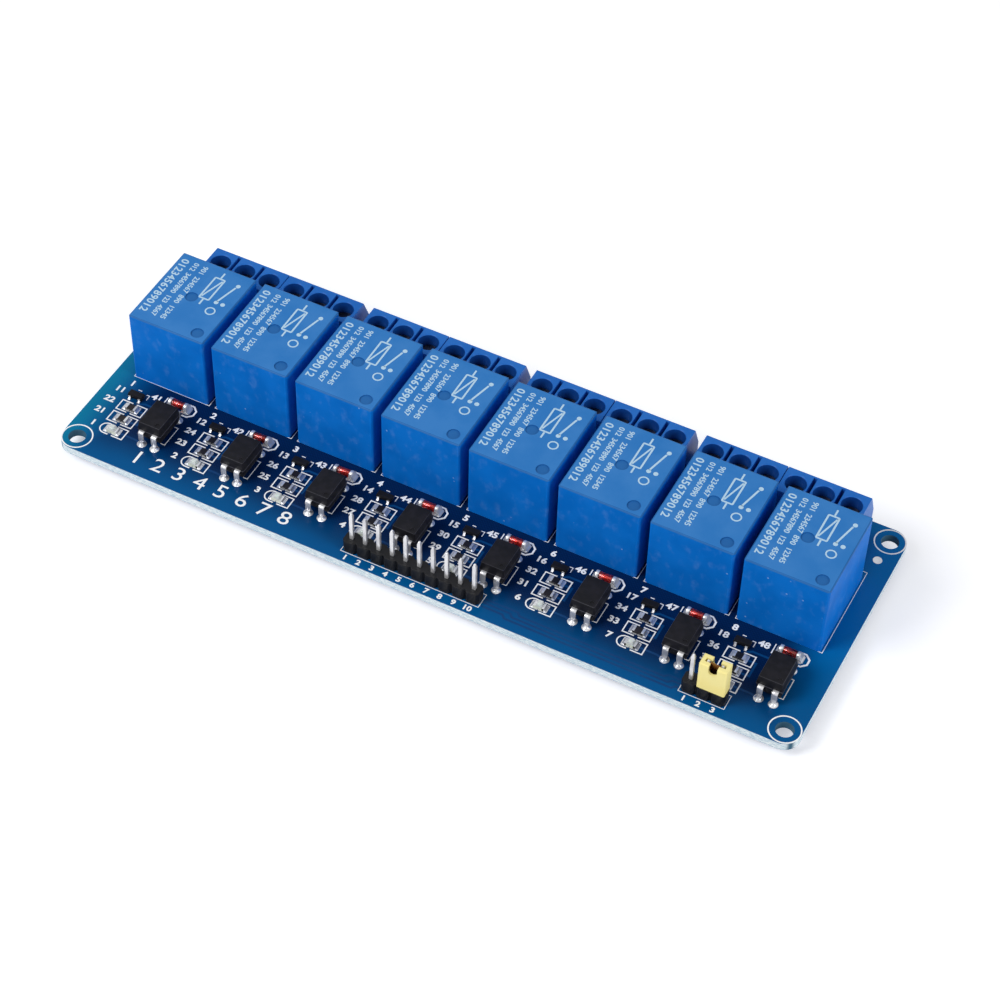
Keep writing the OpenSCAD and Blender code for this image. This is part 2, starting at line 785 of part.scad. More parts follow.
module diode_glass() {
    color([0.75, 0.16, 0.1]) each_driver(diode_x, diode_row) translate([0, 0, diode_d / 2])
        rotate([0, 90, 0])
            cylinder(h = diode_l - 2 * diode_cap_l, d = diode_d - 2 * glass_step, center = true);
}

module diode_caps() {
    color([0.85, 0.85, 0.86]) each_driver(diode_x, diode_row) translate([0, 0, diode_d / 2])
        both_ends() translate([diode_l / 2 - diode_cap_l, 0, 0]) rotate([0, 90, 0])
            cylinder(h = diode_cap_l, d = diode_d);
}

module transistor_bodies() {
    color([0.1, 0.1, 0.1]) each_driver(transistor_x, transistor_row) translate([0, 0, transistor_rise])
        moulded(transistor_l, transistor_w, transistor_h - transistor_rise, transistor_draft);
}

// Gull-wing leads: two at the front and one at the back
module transistor_leads() {
    color([0.82, 0.82, 0.84]) each_driver(transistor_x, transistor_row) {
        for (s = [-1, 1]) translate([s * transistor_lead_x, -transistor_w / 2, 0])
            mirror([0, 1, 0]) gull_lead();
        translate([0, transistor_w / 2, 0]) gull_lead();
    }
}

// One lead that leaves a body at y = 0 and lies flat on the board at its end
module gull_lead() {
    z = (transistor_h + transistor_rise + gull_t) / 2;
    inner = gull_knee - gull_t;
    translate([-gull_w / 2, 0, 0]) rotate([90, 0, 90]) linear_extrude(gull_w) polygon([
        [0, z], [gull_knee, z], [gull_knee, gull_t], [gull_reach, gull_t],
        [gull_reach, 0], [inner, 0], [inner, z - gull_t], [0, z - gull_t]
    ]);
}

// Ceramic body of every chip resistor, two on each channel
module resistor_bodies() {
    color([0.09, 0.09, 0.1]) each_resistor() chip_body(chip_t);
}

module resistor_ends() {
    color([0.83, 0.83, 0.85]) each_resistor() chip_ends(chip_t);
}

module each_resistor() {
    for (row = [0, 1]) each_driver(chip_x, chip_row + row * chip_row_pitch) children();
}

// Body of a chip, inside its end caps
module chip_body(t) {
    translate([0, 0, foil_t]) block(chip_l - 2 * foil_t, chip_w, t - 2 * foil_t);
}

// Metal caps round both ends of a chip
module chip_ends(t) {
    difference() {
        both_ends() translate([chip_l / 2 - chip_end_l, -chip_w / 2, 0]) cube([chip_end_l, chip_w, t]);
        translate([0, 0, foil_t]) block(chip_l - 2 * foil_t, chip_w + 2 * cut, t - 2 * foil_t);
    }
}

module each_indicator() {
    each_driver(chip_x, chip_row + 2 * chip_row_pitch) children();
}

module indicator_bases() {
    color([0.85, 0.88, 0.8]) each_indicator() chip_body(chip_t);
}

module indicator_ends() {
    color([0.83, 0.83, 0.85]) each_indicator() chip_ends(chip_t);
}

// Clear lens between the metal ends, which leans in on all four sides
module indicator_lenses() {
    lens_z = chip_t - foil_t;
    color([0.9, 0.97, 0.93]) each_indicator() translate([0, 0, lens_z])
        lens(chip_l - 2 * (chip_end_l + lens_gap), chip_w, led_h - lens_z, lens_lean);
}

// ---------- Pin headers ----------

// Body of a header with n pins, notched between the pins
module header_body(x, n) {
    translate([x, header_y, top_z]) difference() {
        linear_extrude(header_h) for (dx = pin_places(n)) translate([dx, 0]) header_cell();
        for (dx = pin_places(n)) translate([dx, 0, -cut])
            block(pin_side + 2 * lead_play, pin_side + 2 * lead_play, header_h + 2 * cut);
    }
}

// Outline of a header round one pin
module header_cell() {
    h = pin_pitch / 2;
    c = h - header_notch;
    polygon([[-h, -c], [-c, -h], [c, -h], [h, -c], [h, c], [c, h], [-c, h], [-h, c]]);
}

// Pins of a header, pointed at both ends
module header_pins(x, n) {
    color([0.86, 0.84, 0.78]) each_header_pin(x, n) intersection() {
        rotate([90, 0, 0]) linear_extrude(pin_side, center = true) pin_profile();
        rotate([90, 0, 90]) linear_extrude(pin_side, center = true) pin_profile();
    }
}

// Side view of a header pin
module pin_profile() {
    s = pin_side / 2;
    t = pin_tip_side / 2;
    top = top_z + header_h + pin_above;
    polygon([
        [-t, 0], [t, 0], [s, pin_tip_l], [s, top - pin_tip_l],
        [t, top], [-t, top], [-s, top - pin_tip_l], [-s, pin_tip_l]
    ]);
}

module signal_header_body() {
    color([0.08, 0.08, 0.08]) header_body(signal_header_x, signal_pins);
}

module signal_header_pins() {
    header_pins(signal_header_x, signal_pins);
}

module power_header_body() {
    color([0.08, 0.08, 0.08]) header_body(power_header_x, power_pins);
}

module power_header_pins() {
    header_pins(power_header_x, power_pins);
}

// Children at the jumper's middle, on top of the power header
module at_jumper() {
    translate([power_header_x + pin_pitch / 2, header_y, top_z + header_h]) children();
}

// Cap that bridges two pins, with a round-bottomed slot between its ears
module jumper_cap() {
    test_slot_d = pin_side + 2 * test_slot_play;
    color([0.96, 0.9, 0.45]) at_jumper() difference() {
        case_block(cap_w, cap_d, cap_h, cap_edge_r, cap_edge_r);
        translate([0, 0, -cut])
            block(cap_w - 2 * cap_wall, cap_d - 2 * cap_wall, cap_h - cap_wall + cut);
        translate([0, cap_d, cap_h - cap_slot_depth + cap_slot_w / 2]) rotate([90, 0, 0]) {
            cylinder(h = 2 * cap_d, d = cap_slot_w);
            translate([-cap_slot_w / 2, 0, 0]) cube([cap_slot_w, cap_h, 2 * cap_d]);
        }
        block(pin_pitch + test_slot_w, test_slot_d, cap_h + cut);
    }
}

// Sprung metal inside the cap: a sleeve round each pin and a bridge between them
module jumper_clip() {
    sleeve_w = pin_side + 2 * (play + clip_t);
    sleeve_d = cap_d - 2 * (cap_wall + play);
    sleeve_h = cap_h - cap_wall - clip_headroom;
    hole = pin_side + 2 * play;
    color([0.7, 0.5, 0.25]) at_jumper() translate([0, 0, play]) difference() {
        union() {
            for (s = [-1, 1]) translate([s * pin_pitch / 2, 0, 0]) block(sleeve_w, sleeve_d, sleeve_h);
            block(pin_pitch, clip_t, cap_h - clip_bridge_drop);
        }
        for (s = [-1, 1]) translate([s * pin_pitch / 2, 0, -cut]) block(hole, hole, cap_h + 2 * cut);
    }
}

// ---------- Assembly ----------

circuit_board();
lead_solder();
surface_solder();
for (i = [1:channels]) {
    relay_cover(i);
    relay_armature(i);
    terminal_housing(i);
}
relay_bases();
relay_bobbins();
relay_coils();
relay_cores();
relay_yokes();
relay_common_pins();
relay_coil_pins();
relay_open_contacts();
relay_closed_contacts();
terminal_screws();
terminal_cages();
terminal_wire_guards();
terminal_pins();
optocoupler_bodies();
optocoupler_leads();
diode_glass();
diode_caps();
transistor_bodies();
transistor_leads();
resistor_bodies();
resistor_ends();
indicator_bases();
indicator_lenses();
indicator_ends();
signal_header_body();
signal_header_pins();
power_header_body();
power_header_pins();
jumper_cap();
jumper_clip();
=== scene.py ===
"""Looks of a relay module board: finishes, print, solder and fine edges round its fixed frame.

Lengths are in millimetres until a piece is finished. Materials, lamps and the camera are in metres.
"""

from __future__ import annotations

import json
import logging
import math
from dataclasses import dataclass, field
from enum import Enum
from typing import Iterable, Sequence

import bmesh
import bpy
from mathutils import Matrix, Vector

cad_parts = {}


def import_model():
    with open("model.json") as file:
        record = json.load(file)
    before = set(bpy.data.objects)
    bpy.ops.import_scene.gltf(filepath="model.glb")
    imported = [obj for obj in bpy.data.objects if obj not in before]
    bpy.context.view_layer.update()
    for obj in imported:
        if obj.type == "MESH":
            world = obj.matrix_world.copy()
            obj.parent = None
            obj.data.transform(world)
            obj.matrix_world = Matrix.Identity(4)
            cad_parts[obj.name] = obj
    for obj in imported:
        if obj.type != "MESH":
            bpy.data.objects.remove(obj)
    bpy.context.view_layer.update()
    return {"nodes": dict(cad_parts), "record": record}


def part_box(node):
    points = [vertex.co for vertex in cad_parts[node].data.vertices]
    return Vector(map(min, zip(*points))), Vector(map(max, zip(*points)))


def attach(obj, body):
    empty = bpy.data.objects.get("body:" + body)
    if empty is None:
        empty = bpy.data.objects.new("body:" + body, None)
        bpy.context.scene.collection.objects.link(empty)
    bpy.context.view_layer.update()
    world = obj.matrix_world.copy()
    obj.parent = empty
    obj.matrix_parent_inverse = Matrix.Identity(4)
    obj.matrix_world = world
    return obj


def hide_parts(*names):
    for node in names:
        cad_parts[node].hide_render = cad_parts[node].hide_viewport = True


LOG = logging.getLogger("relay_board")
MM = 0.001  # one millimetre, in metres
HAIR = 0.02  # thickness of print, in millimetres
MERGE = 0.0005  # corners nearer than this, in millimetres, are one
BLOCK_FACES = 6

Colour = tuple[float, float, float]
Point2 = tuple[float, float]
Point3 = tuple[float, float, float]
Run = tuple[Point2, ...]
Vert = bmesh.types.BMVert
Face = bmesh.types.BMFace
Socket = bpy.types.NodeSocket
Material = bpy.types.Material


class Body(Enum):
    """The moving bodies that a piece can ride on."""

    BOARD = "board"
    JUMPER = "jumper"


class Side(Enum):
    """Face of the circuit board that solder lies on."""

    TOP = 1
    UNDER = -1


class Slot(Enum):
    """The record's material slots."""

    SOLDER = "solder"
    TIN = "tinned_pin"
    RELAY = "relay_case"
    TERMINAL = "terminal_plastic"
    SCREW = "terminal_screw"
    EPOXY = "black_epoxy"
    CHIP = "ceramic_chip"
    GLASS = "red_glass"
    LAMP_BASE = "lamp_base"
    LAMP_LENS = "lamp_lens"
    HEADER = "header_plastic"
    JUMPER = "jumper_plastic"
    CLIP = "jumper_metal"


def hue(red: int, green: int, blue: int) -> Colour:
    """Return the scene-linear colour of a colour given from 0 to 255."""
    parts = (channel / 255 for channel in (red, green, blue))
    return tuple(c / 12.92 if c <= 0.04045 else ((c + 0.055) / 1.055) ** 2.4 for c in parts)


# ---------- The frame, in millimetres ----------


@dataclass(frozen=True)
class Box:
    """Lowest and highest corners of a solid, in millimetres."""

    low: Vector
    high: Vector

    @property
    def centre(self) -> Vector:
        """Middle of the box."""
        return (self.low + self.high) / 2

    @property
    def size(self) -> Vector:
        """Edge lengths of the box."""
        return self.high - self.low


def nearest(boxes: Iterable[Box], place: Vector) -> Box:
    """Return the box whose middle is nearest to a place."""
    return min(boxes, key=lambda box: (box.centre - place).length)


def corners(verts: Iterable[Vert]) -> tuple[Vector, Vector]:
    """Find the box round some vertices.

    Args:
        verts: The vertices.

    Returns:
        Its lowest and highest corners.
    """
    points = [v.co for v in verts]
    low = Vector(min(p[axis] for p in points) for axis in range(3))
    high = Vector(max(p[axis] for p in points) for axis in range(3))
    return low, high


def joined(start: Iterable[Vert]) -> list[Vert]:
    """Return some vertices and all that edges join to them.

    Args:
        start: Vertices to start from.

    Returns:
        Every vertex that can be reached, once.
    """
    queue = list(start)
    found = dict.fromkeys(queue)
    while queue:
        for edge in queue.pop().link_edges:
            for vert in edge.verts:
                if vert not in found:
                    found[vert] = None
                    queue.append(vert)
    return list(found)


@dataclass
class Frame:
    """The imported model, measured in millimetres."""

    nodes: dict[str, bpy.types.Object]
    record: dict
    _solids: dict[str, list[Box]] = field(default_factory=dict)

    @staticmethod
    def box(node: str) -> Box:
        """Return the box round a whole node."""
        low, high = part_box(node)
        return Box(low / MM, high / MM)

    def merged(self, node: str) -> bmesh.types.BMesh:
        """Copy a node's mesh and join its corners.

        Args:
            node: Name of the node.

        Returns:
            The copy, in millimetres.
        """
        mesh = bmesh.new()
        mesh.from_mesh(self.nodes[node].data)
        bmesh.ops.scale(mesh, vec=Vector((1, 1, 1)) / MM, verts=mesh.verts)
        bmesh.ops.remove_doubles(mesh, verts=mesh.verts, dist=MERGE)
        return mesh

    def solids(self, node: str) -> list[Box]:
        """Measure each separate solid of a node, once.

        Args:
            node: Name of the node.

        Returns:
            Boxes in order of X and then Y.
        """
        if node not in self._solids:
            mesh = self.merged(node)
            boxes, seen = [], set()
            for vert in mesh.verts:
                if vert not in seen:
                    solid = joined([vert])
                    seen.update(solid)
                    boxes.append(Box(*corners(solid)))
            mesh.free()
            boxes.sort(key=lambda b: (round(b.centre.x, 1), round(b.centre.y, 1)))
            self._solids[node] = boxes
        return self._solids[node]

    def mount(self, name: str) -> dict:
        """Return one of the record's mounts."""
        return next(mount for mount in self.record["mounts"] if mount["name"] == name)

    def numbered(self, stem: str) -> list[str]:
        """Return the names of the nodes that are the stem and a number."""
        names = [n for n in self.nodes if n.startswith(stem + "_") and n[len(stem) + 1:].isdigit()]
        return sorted(names, key=lambda n: int(n[len(stem) + 1:]))


# ---------- Node materials ----------


class Paint:
    """A node material whose patterns read Object coordinates, in metres."""

    def __init__(self, name: str) -> None:
        """Start a material with one plain surface shader.

        Args:
            name: Name of the material.
        """
        self.material = bpy.data.materials.new(name)
        self.material.use_nodes = True
        self.tree = self.material.node_tree
        self.shader = self.tree.nodes["Principled BSDF"]
        self.place = self.tree.nodes.new("ShaderNodeTexCoord").outputs["Object"]

    def set(self, **values: float | Colour) -> Paint:
        """Set constant values on the shader's own sockets.

        Args:
            values: Socket names with underscores for spaces, and their values.

        Returns:
            This material, for the next call.
        """
        for key, value in values.items():
            socket = self.shader.inputs[key.replace("_", " ").title().replace("Ior", "IOR")]
            socket.default_value = (*value, 1.0) if isinstance(value, tuple) else value
        return self

    def node(self, kind: str, **options: object) -> bpy.types.Node:
        """Add a node and set its options.

        Args:
            kind: Blender's name for the node.
            options: Properties of the node.

        Returns:
            The node.
        """
        made = self.tree.nodes.new(kind)
        for key, value in options.items():
            setattr(made, key, value)
        return made

    def feed(self, source: object, socket: Socket) -> None:
        """Link a socket, or set it to a constant.

        Args:
            source: Another node's output, a number or a colour.
            socket: Input to feed.
        """
        if isinstance(source, Socket):
            self.tree.links.new(source, socket)
        elif isinstance(source, tuple) and len(source) == 3 and socket.type == "RGBA":
            socket.default_value = (*source, 1.0)
        else:
            socket.default_value = source

    def math(self, operation: str, first: object, second: object = 0.0) -> Socket:
        """Work out a sum, product or other operation.

        Args:
            operation: Blender's name for it.
            first: Number or output.
            second: Number or output.

        Returns:
            The result.
        """
        made = self.node("ShaderNodeMath", operation=operation)
        self.feed(first, made.inputs[0])
        self.feed(second, made.inputs[1])
        return made.outputs[0]

    def times(self, first: object, second: object) -> Socket:
        """Return a product."""
        return self.math("MULTIPLY", first, second)

    def axis(self, name: str) -> Socket:
        """Read one coordinate of the surface point.

        Args:
            name: X, Y or Z.

        Returns:
            The coordinate, in metres.
        """
        made = self.node("ShaderNodeSeparateXYZ")
        self.feed(self.place, made.inputs[0])
        return made.outputs[name]

    def noise(self, size: float, detail: float = 3.0, scale: Point3 = (1.0, 1.0, 1.0)) -> Socket:
        """Make smooth noise.

        Args:
            size: Rough width of its lumps, in millimetres.
            detail: Number of finer layers.
            scale: How much denser it is along each axis.

        Returns:
            Noise from 0 to 1.
        """
        mapping = self.node("ShaderNodeMapping")
        self.feed(self.place, mapping.inputs["Vector"])
        mapping.inputs["Scale"].default_value = scale
        made = self.node("ShaderNodeTexNoise")
        self.feed(mapping.outputs[0], made.inputs["Vector"])
        made.inputs["Scale"].default_value = 1 / (size * MM)
        made.inputs["Detail"].default_value = detail
        return made.outputs["Fac"]

    def specks(self, spacing: float, radius: float) -> Socket:
        """Make small round spots.

        Args:
            spacing: Rough distance between spots, in millimetres.
            radius: Radius of a spot, in millimetres.

        Returns:
            1 in the spots and 0 elsewhere.
        """
        made = self.node("ShaderNodeTexVoronoi", feature="F1")
        self.feed(self.place, made.inputs["Vector"])
        made.inputs["Scale"].default_value = 1 / (spacing * MM)
        made.inputs["Randomness"].default_value = 1.0
        return self.span(made.outputs["Distance"], radius / spacing, 0.5 * radius / spacing)

    def span(self, value: object, start: float, end: float) -> Socket:
        """Map a value smoothly to 0 at start and 1 at end.

        Args:
            value: Number or output.
            start: Value that becomes 0.
            end: Value that becomes 1, which may be the smaller one.

        Returns:
            The mapped value.
        """
        made = self.node("ShaderNodeMapRange", interpolation_type="SMOOTHSTEP")
        low, high = sorted((start, end))
        rising = start < end
        self.feed(value, made.inputs["Value"])
        self.feed(low, made.inputs["From Min"])
        self.feed(high, made.inputs["From Max"])
        self.feed(0.0 if rising else 1.0, made.inputs["To Min"])
        self.feed(1.0 if rising else 0.0, made.inputs["To Max"])
        return made.outputs["Result"]

    def blend(self, share: object, first: object, second: object) -> Socket:
        """Mix two colours.

        Args:
            share: Share of the second colour.
            first: Colour or output.
            second: Colour or output.

        Returns:
            The mixed colour.
        """
        made = self.node("ShaderNodeMix", data_type="RGBA")
        self.feed(share, made.inputs["Factor"])
        self.feed(first, made.inputs["A"])
        self.feed(second, made.inputs["B"])
        return made.outputs["Result"]

    def level(self, share: object, first: float, second: float) -> Socket:
        """Go in a straight line from one value to another.

        Args:
            share: 0 for the first value and 1 for the second.
            first: First value.
            second: Second value.

        Returns:
            The value.
        """
        made = self.node("ShaderNodeMapRange")
        self.feed(share, made.inputs["Value"])
        self.feed(first, made.inputs["To Min"])
        self.feed(second, made.inputs["To Max"])
        return made.outputs["Result"]

    def colour(self, source: object) -> Paint:
        """Feed the surface colour."""
        self.feed(source, self.shader.inputs["Base Color"])
        return self

    def rough(self, source: object) -> Paint:
        """Feed the surface roughness."""
        self.feed(source, self.shader.inputs["Roughness"])
        return self

    def relief(self, height: object, depth: float, strength: float = 1.0) -> Paint:
        """Bump the surface by a height pattern.

        Args:
            height: Pattern from 0 to 1.
            depth: Depth of the pattern, in millimetres.
            strength: Share of the bump that is shown.

        Returns:
            This material, for the next call.
        """
        made = self.node("ShaderNodeBump")
        made.inputs["Distance"].default_value = depth * MM
        made.inputs["Strength"].default_value = strength
        self.feed(height, made.inputs["Height"])
        self.feed(made.outputs[0], self.shader.inputs["Normal"])
        return self


@dataclass(frozen=True)
class Finish:
    """A finish whose colour drifts between two near ones."""

    name: str
    base: Colour
    tint: Colour

    def drift(self, paint: Paint, size: float, detail: float, start: float, end: float) -> Socket:
        """Return a colour that wanders between the base and the tint.

        Args:
            paint: Material to add it to.
            size: Width of the patches, in millimetres.
            detail: Detail of the patches.
            start: Noise below which the colour is the base.
            end: Noise above which it is the tint.

        Returns:
            The colour.
        """
        return paint.blend(paint.span(paint.noise(size, detail), start, end), self.base, self.tint)


@dataclass(frozen=True)
class Plastic(Finish):
    """A moulded plastic with a skin texture and, where it is handled, pale marks."""

    gloss: float
    grain: float = 0.35
    depth: float = 0.006
    marks: float = 0.0
    mark_colour: Colour = (0.25, 0.45, 0.75)
    shine: float = 0.2

    def make(self) -> Material:
        """Build the material.

        Returns:
            The material.
        """
        paint = Paint(self.name)
        colour = self.drift(paint, size=6.0, detail=4.0, start=0.35, end=0.65)
        if self.marks:
            colour = self.handled(paint, colour)
        skin = paint.noise(self.grain, detail=4.0)
        paint.colour(colour).rough(paint.level(skin, self.gloss - 0.06, self.gloss + 0.08))
        paint.relief(skin, self.depth, strength=0.5)
        return paint.set(specular_ior_level=self.shine).material

    def handled(self, paint: Paint, colour: Socket) -> Socket:
        """Add cloudy rubbing and pale specks.

        Args:
            paint: Material to add them to.
            colour: Colour under the marks.

        Returns:
            The marked colour.
        """
        rubbing = paint.span(paint.noise(1.8, 7.0, scale=(1.0, 1.0, 0.7)), 0.5, 0.85)
        colour = paint.blend(paint.times(rubbing, 0.25 * self.marks), colour, self.mark_colour)
        streaks = paint.span(paint.noise(0.9, 5.0, scale=(1.0, 1.0, 0.45)), 0.48, 0.6)
        spots = paint.times(paint.specks(spacing=2.4, radius=0.22), streaks)
        return paint.blend(paint.times(spots, self.marks), colour, self.mark_colour)


@dataclass(frozen=True)
class MouldedBlack(Finish):
    """A black moulding with a pale line round its top edge, which is a painted highlight, and a
    pale line along its parting line, which is partly real flash and partly painted highlight.
    """

    top: float
    parting: float
    # Colour of the painted highlight lines.
    edge: Colour = hue(110, 110, 120)
    edge_drop: float = 0.07

    def make(self) -> Material:
        """Build the material.

        Returns:
            The material.
        """
        paint = Paint(self.name)
        colour = self.drift(paint, size=1.4, detail=4.0, start=0.4, end=0.65)
        height = paint.axis("Z")
        # Pale lines: a painted highlight along the top edge, and along the parting line partly real
        # flash and partly painted highlight.
        lines = ((self.top - self.edge_drop, 0.05, 0.4), (self.parting, 0.07, 0.8))
        for place, half, share in lines:
            away = paint.math("ABSOLUTE", paint.math("SUBTRACT", height, place * MM))
            line = paint.span(away, half * MM, 0.6 * half * MM)
            patchy_strength = paint.level(paint.noise(0.8), 0.3 * share, 1.6 * share)
            colour = paint.blend(paint.times(line, patchy_strength), colour, self.edge)
        skin = paint.noise(0.12, detail=4.0)
        paint.colour(colour).rough(paint.level(skin, 0.36, 0.5))
        return paint.relief(skin, 0.012, strength=0.5).set(specular_ior_level=0.14).material


@dataclass(frozen=True)
class Metal(Finish):
    """A plated or tinned metal with a drawn or cast skin."""

    gloss: float
    grain: float = 0.5
    depth: float = 0.01
    metallic: float = 1.0

    def make(self) -> Material:
        """Build the material.

        Returns:
            The material.
        """
        paint = Paint(self.name)
        skin = paint.noise(self.grain, detail=5.0)
        paint.colour(self.drift(paint, size=3.0, detail=3.0, start=0.4, end=0.7))
        paint.rough(paint.level(skin, max(self.gloss - 0.1, 0.04), self.gloss + 0.12))
        return paint.relief(skin, self.depth, strength=0.6).set(metallic=self.metallic).material


@dataclass(frozen=True)
class ClearGlass:
    """Clear or tinted glass or resin."""

    name: str
    base: Colour
    gloss: float
    clear: float = 1.0
    ior: float = 1.5

    def make(self) -> Material:
        """Build the material.

        Returns:
            The material.
        """
        paint = Paint(self.name)
        cloud = paint.noise(0.6, detail=2.0)
        pale = tuple(min(1.0, channel * 1.15) for channel in self.base)
        paint.colour(paint.blend(cloud, self.base, pale))
        paint.rough(paint.level(cloud, self.gloss, self.gloss + 0.05))
        return paint.set(transmission_weight=self.clear, ior=self.ior).material


@dataclass(frozen=True)
class InkFinish(Finish):
    """White print, a little thin and uneven."""

    def make(self) -> Material:
        """Build the material.

        Returns:
            The material.
        """
        paint = Paint(self.name)
        patch = paint.noise(0.35, detail=4.0)
        paint.colour(paint.blend(paint.span(patch, 0.55, 0.8), self.base, self.tint))
        return paint.rough(paint.level(patch, 0.5, 0.7)).relief(patch, 0.004, strength=0.5).material


@dataclass(frozen=True)
class WindingFinish(Finish):
    """Turns of fine enamelled wire round an upright spool."""

    wire: float = 0.16

    def make(self) -> Material:
        """Build the material.

        Returns:
            The material.
        """
        paint = Paint(self.name)
        turn = paint.math("SINE", paint.times(paint.axis("Z"), math.tau / (self.wire * MM)))
        paint.colour(paint.blend(paint.span(turn, -0.9, 0.2), self.base, self.tint))
        paint.rough(paint.level(paint.noise(0.5), 0.25, 0.4))
        return paint.relief(turn, 0.03, strength=0.8).set(metallic=0.8).material


@dataclass(frozen=True)
class BoardFinish:
    """Solder mask over the board's faces, and glass fibre along its cut edges and bores, with
    painted shade in the bores.

    The mask is dark in the middle and paler in a band along the rim. Painted light makes the rim
    brighter and bluer at the right rear and greener at the left.
    """

    half: Vector
    top: float
    under: float
    centre: Colour = hue(4, 31, 74)
    rim: Colour = hue(3, 84, 142)
    # Painted light: the right and left rim colours stand for lamp light and its reflection on those
    # sides.
    right_rim: Colour = hue(2, 108, 176)
    left_rim: Colour = hue(10, 122, 160)
    fibre: Colour = hue(244, 252, 255)
    fibre_dark: Colour = hue(186, 210, 224)
    # Painted shade on the walls of the holes.
    bore: Colour = hue(68, 106, 130)
    rim_width: Point2 = (7.5, 5.5)
    fade: float = 7.0
    thread: float = 0.55

    def make(self) -> Material:
        """Build the material.

        Returns:
            The material.
        """
        paint = Paint("solder_mask")
        along = paint.math("ABSOLUTE", paint.axis("X"))
        across = paint.math("ABSOLUTE", paint.axis("Y"))
        mask = paint.blend(self.near_rim(paint, along, across), self.centre, self.rim_colour(paint))
        weave = self.weave(paint)
        mask = paint.blend(paint.times(weave, 0.10), mask, self.rim)
        face = self.on_face(paint)
        paint.colour(paint.blend(face, self.cut_edge(paint, along, across), mask))
        ripple = paint.noise(1.6, detail=3.0)
        matt = paint.times(paint.math("SUBTRACT", 1.0, face), 0.45)
        paint.rough(paint.math("ADD", paint.level(ripple, 0.16, 0.28), matt))
        paint.relief(paint.math("ADD", ripple, paint.times(weave, 0.25)), 0.012, strength=0.5)
        return paint.set(specular_ior_level=0.05).material

    def near_rim(self, paint: Paint, along: Socket, across: Socket) -> Socket:
        """Fade from the middle of the board to its rim.

        Args:
            paint: Material to add it to.
            along: Distance from the middle along X.
            across: Distance from the middle along Y.

        Returns:
            0 in the middle and 1 at the rim.
        """
        past_x = paint.math("SUBTRACT", along, (self.half.x - self.rim_width[0]) * MM)
        past_y = paint.math("SUBTRACT", across, (self.half.y - self.rim_width[1]) * MM)
        past = paint.math("DIVIDE", paint.math("MAXIMUM", past_x, past_y), self.fade * MM)
        uneven = paint.math("ADD", past, paint.times(paint.noise(9.0, detail=2.0), 0.35))
        return paint.span(uneven, -0.35, 0.95)

    def rim_colour(self, paint: Paint) -> Socket:
        """Colour the rim, with painted light: brighter and bluer at the right rear, and greener at
        the left.

        Args:
            paint: Material to add it to.

        Returns:
            The colour.
        """
        x, y = paint.axis("X"), paint.axis("Y")
        right = paint.span(x, (self.half.x - 16.0) * MM, (self.half.x - 4.0) * MM)
        right = paint.times(right, paint.span(y, -18.0 * MM, 4.0 * MM))
        left = paint.span(x, (6.5 - self.half.x) * MM, (-0.5 - self.half.x) * MM)
        return paint.blend(left, paint.blend(right, self.rim, self.right_rim), self.left_rim)

    def weave(self, paint: Paint) -> Socket:
        """Draw the faint cross weave of the cloth under the mask.

        Args:
            paint: Material to add it to.

        Returns:
            0 between the threads and 1 where they cross.
        """
        turns = math.tau / (self.thread * MM)
        warp = paint.math("SINE", paint.times(paint.axis("X"), turns))
        weft = paint.math("SINE", paint.times(paint.axis("Y"), turns))
        return paint.span(paint.times(warp, weft), -0.6, 0.9)

    def on_face(self, paint: Paint) -> Socket:
        """Tell the two faces of the board from its edges.

        Args:
            paint: Material to add it to.

        Returns:
            1 on the faces and 0 on the edges.
        """
        height = paint.axis("Z")
        over = paint.span(height, (self.top - 0.05) * MM, (self.top - 0.03) * MM)
        below = paint.span(height, (self.under + 0.05) * MM, (self.under + 0.03) * MM)
        return paint.math("MAXIMUM", over, below)

    def cut_edge(self, paint: Paint, along: Socket, across: Socket) -> Socket:
        """Colour the cut fibre: pale layers on the outside, and painted shade in the bores.

        Args:
            paint: Material to add it to.
            along: Distance from the middle along X.
            across: Distance from the middle along Y.

        Returns:
            The colour.
        """
        layers = paint.noise(0.22, detail=3.0, scale=(0.3, 0.3, 3.0))
        fibre = paint.blend(paint.span(layers, 0.4, 0.62), self.fibre, self.fibre_dark)
        inside = paint.math("MINIMUM", paint.math("SUBTRACT", self.half.x * MM, along),
                            paint.math("SUBTRACT", self.half.y * MM, across))
        # Painted shade: faces away from the outer edges, the walls of the holes, take the darker
        # colour.
        return paint.blend(paint.span(inside, 0.3 * MM, 0.8 * MM), fibre, self.bore)


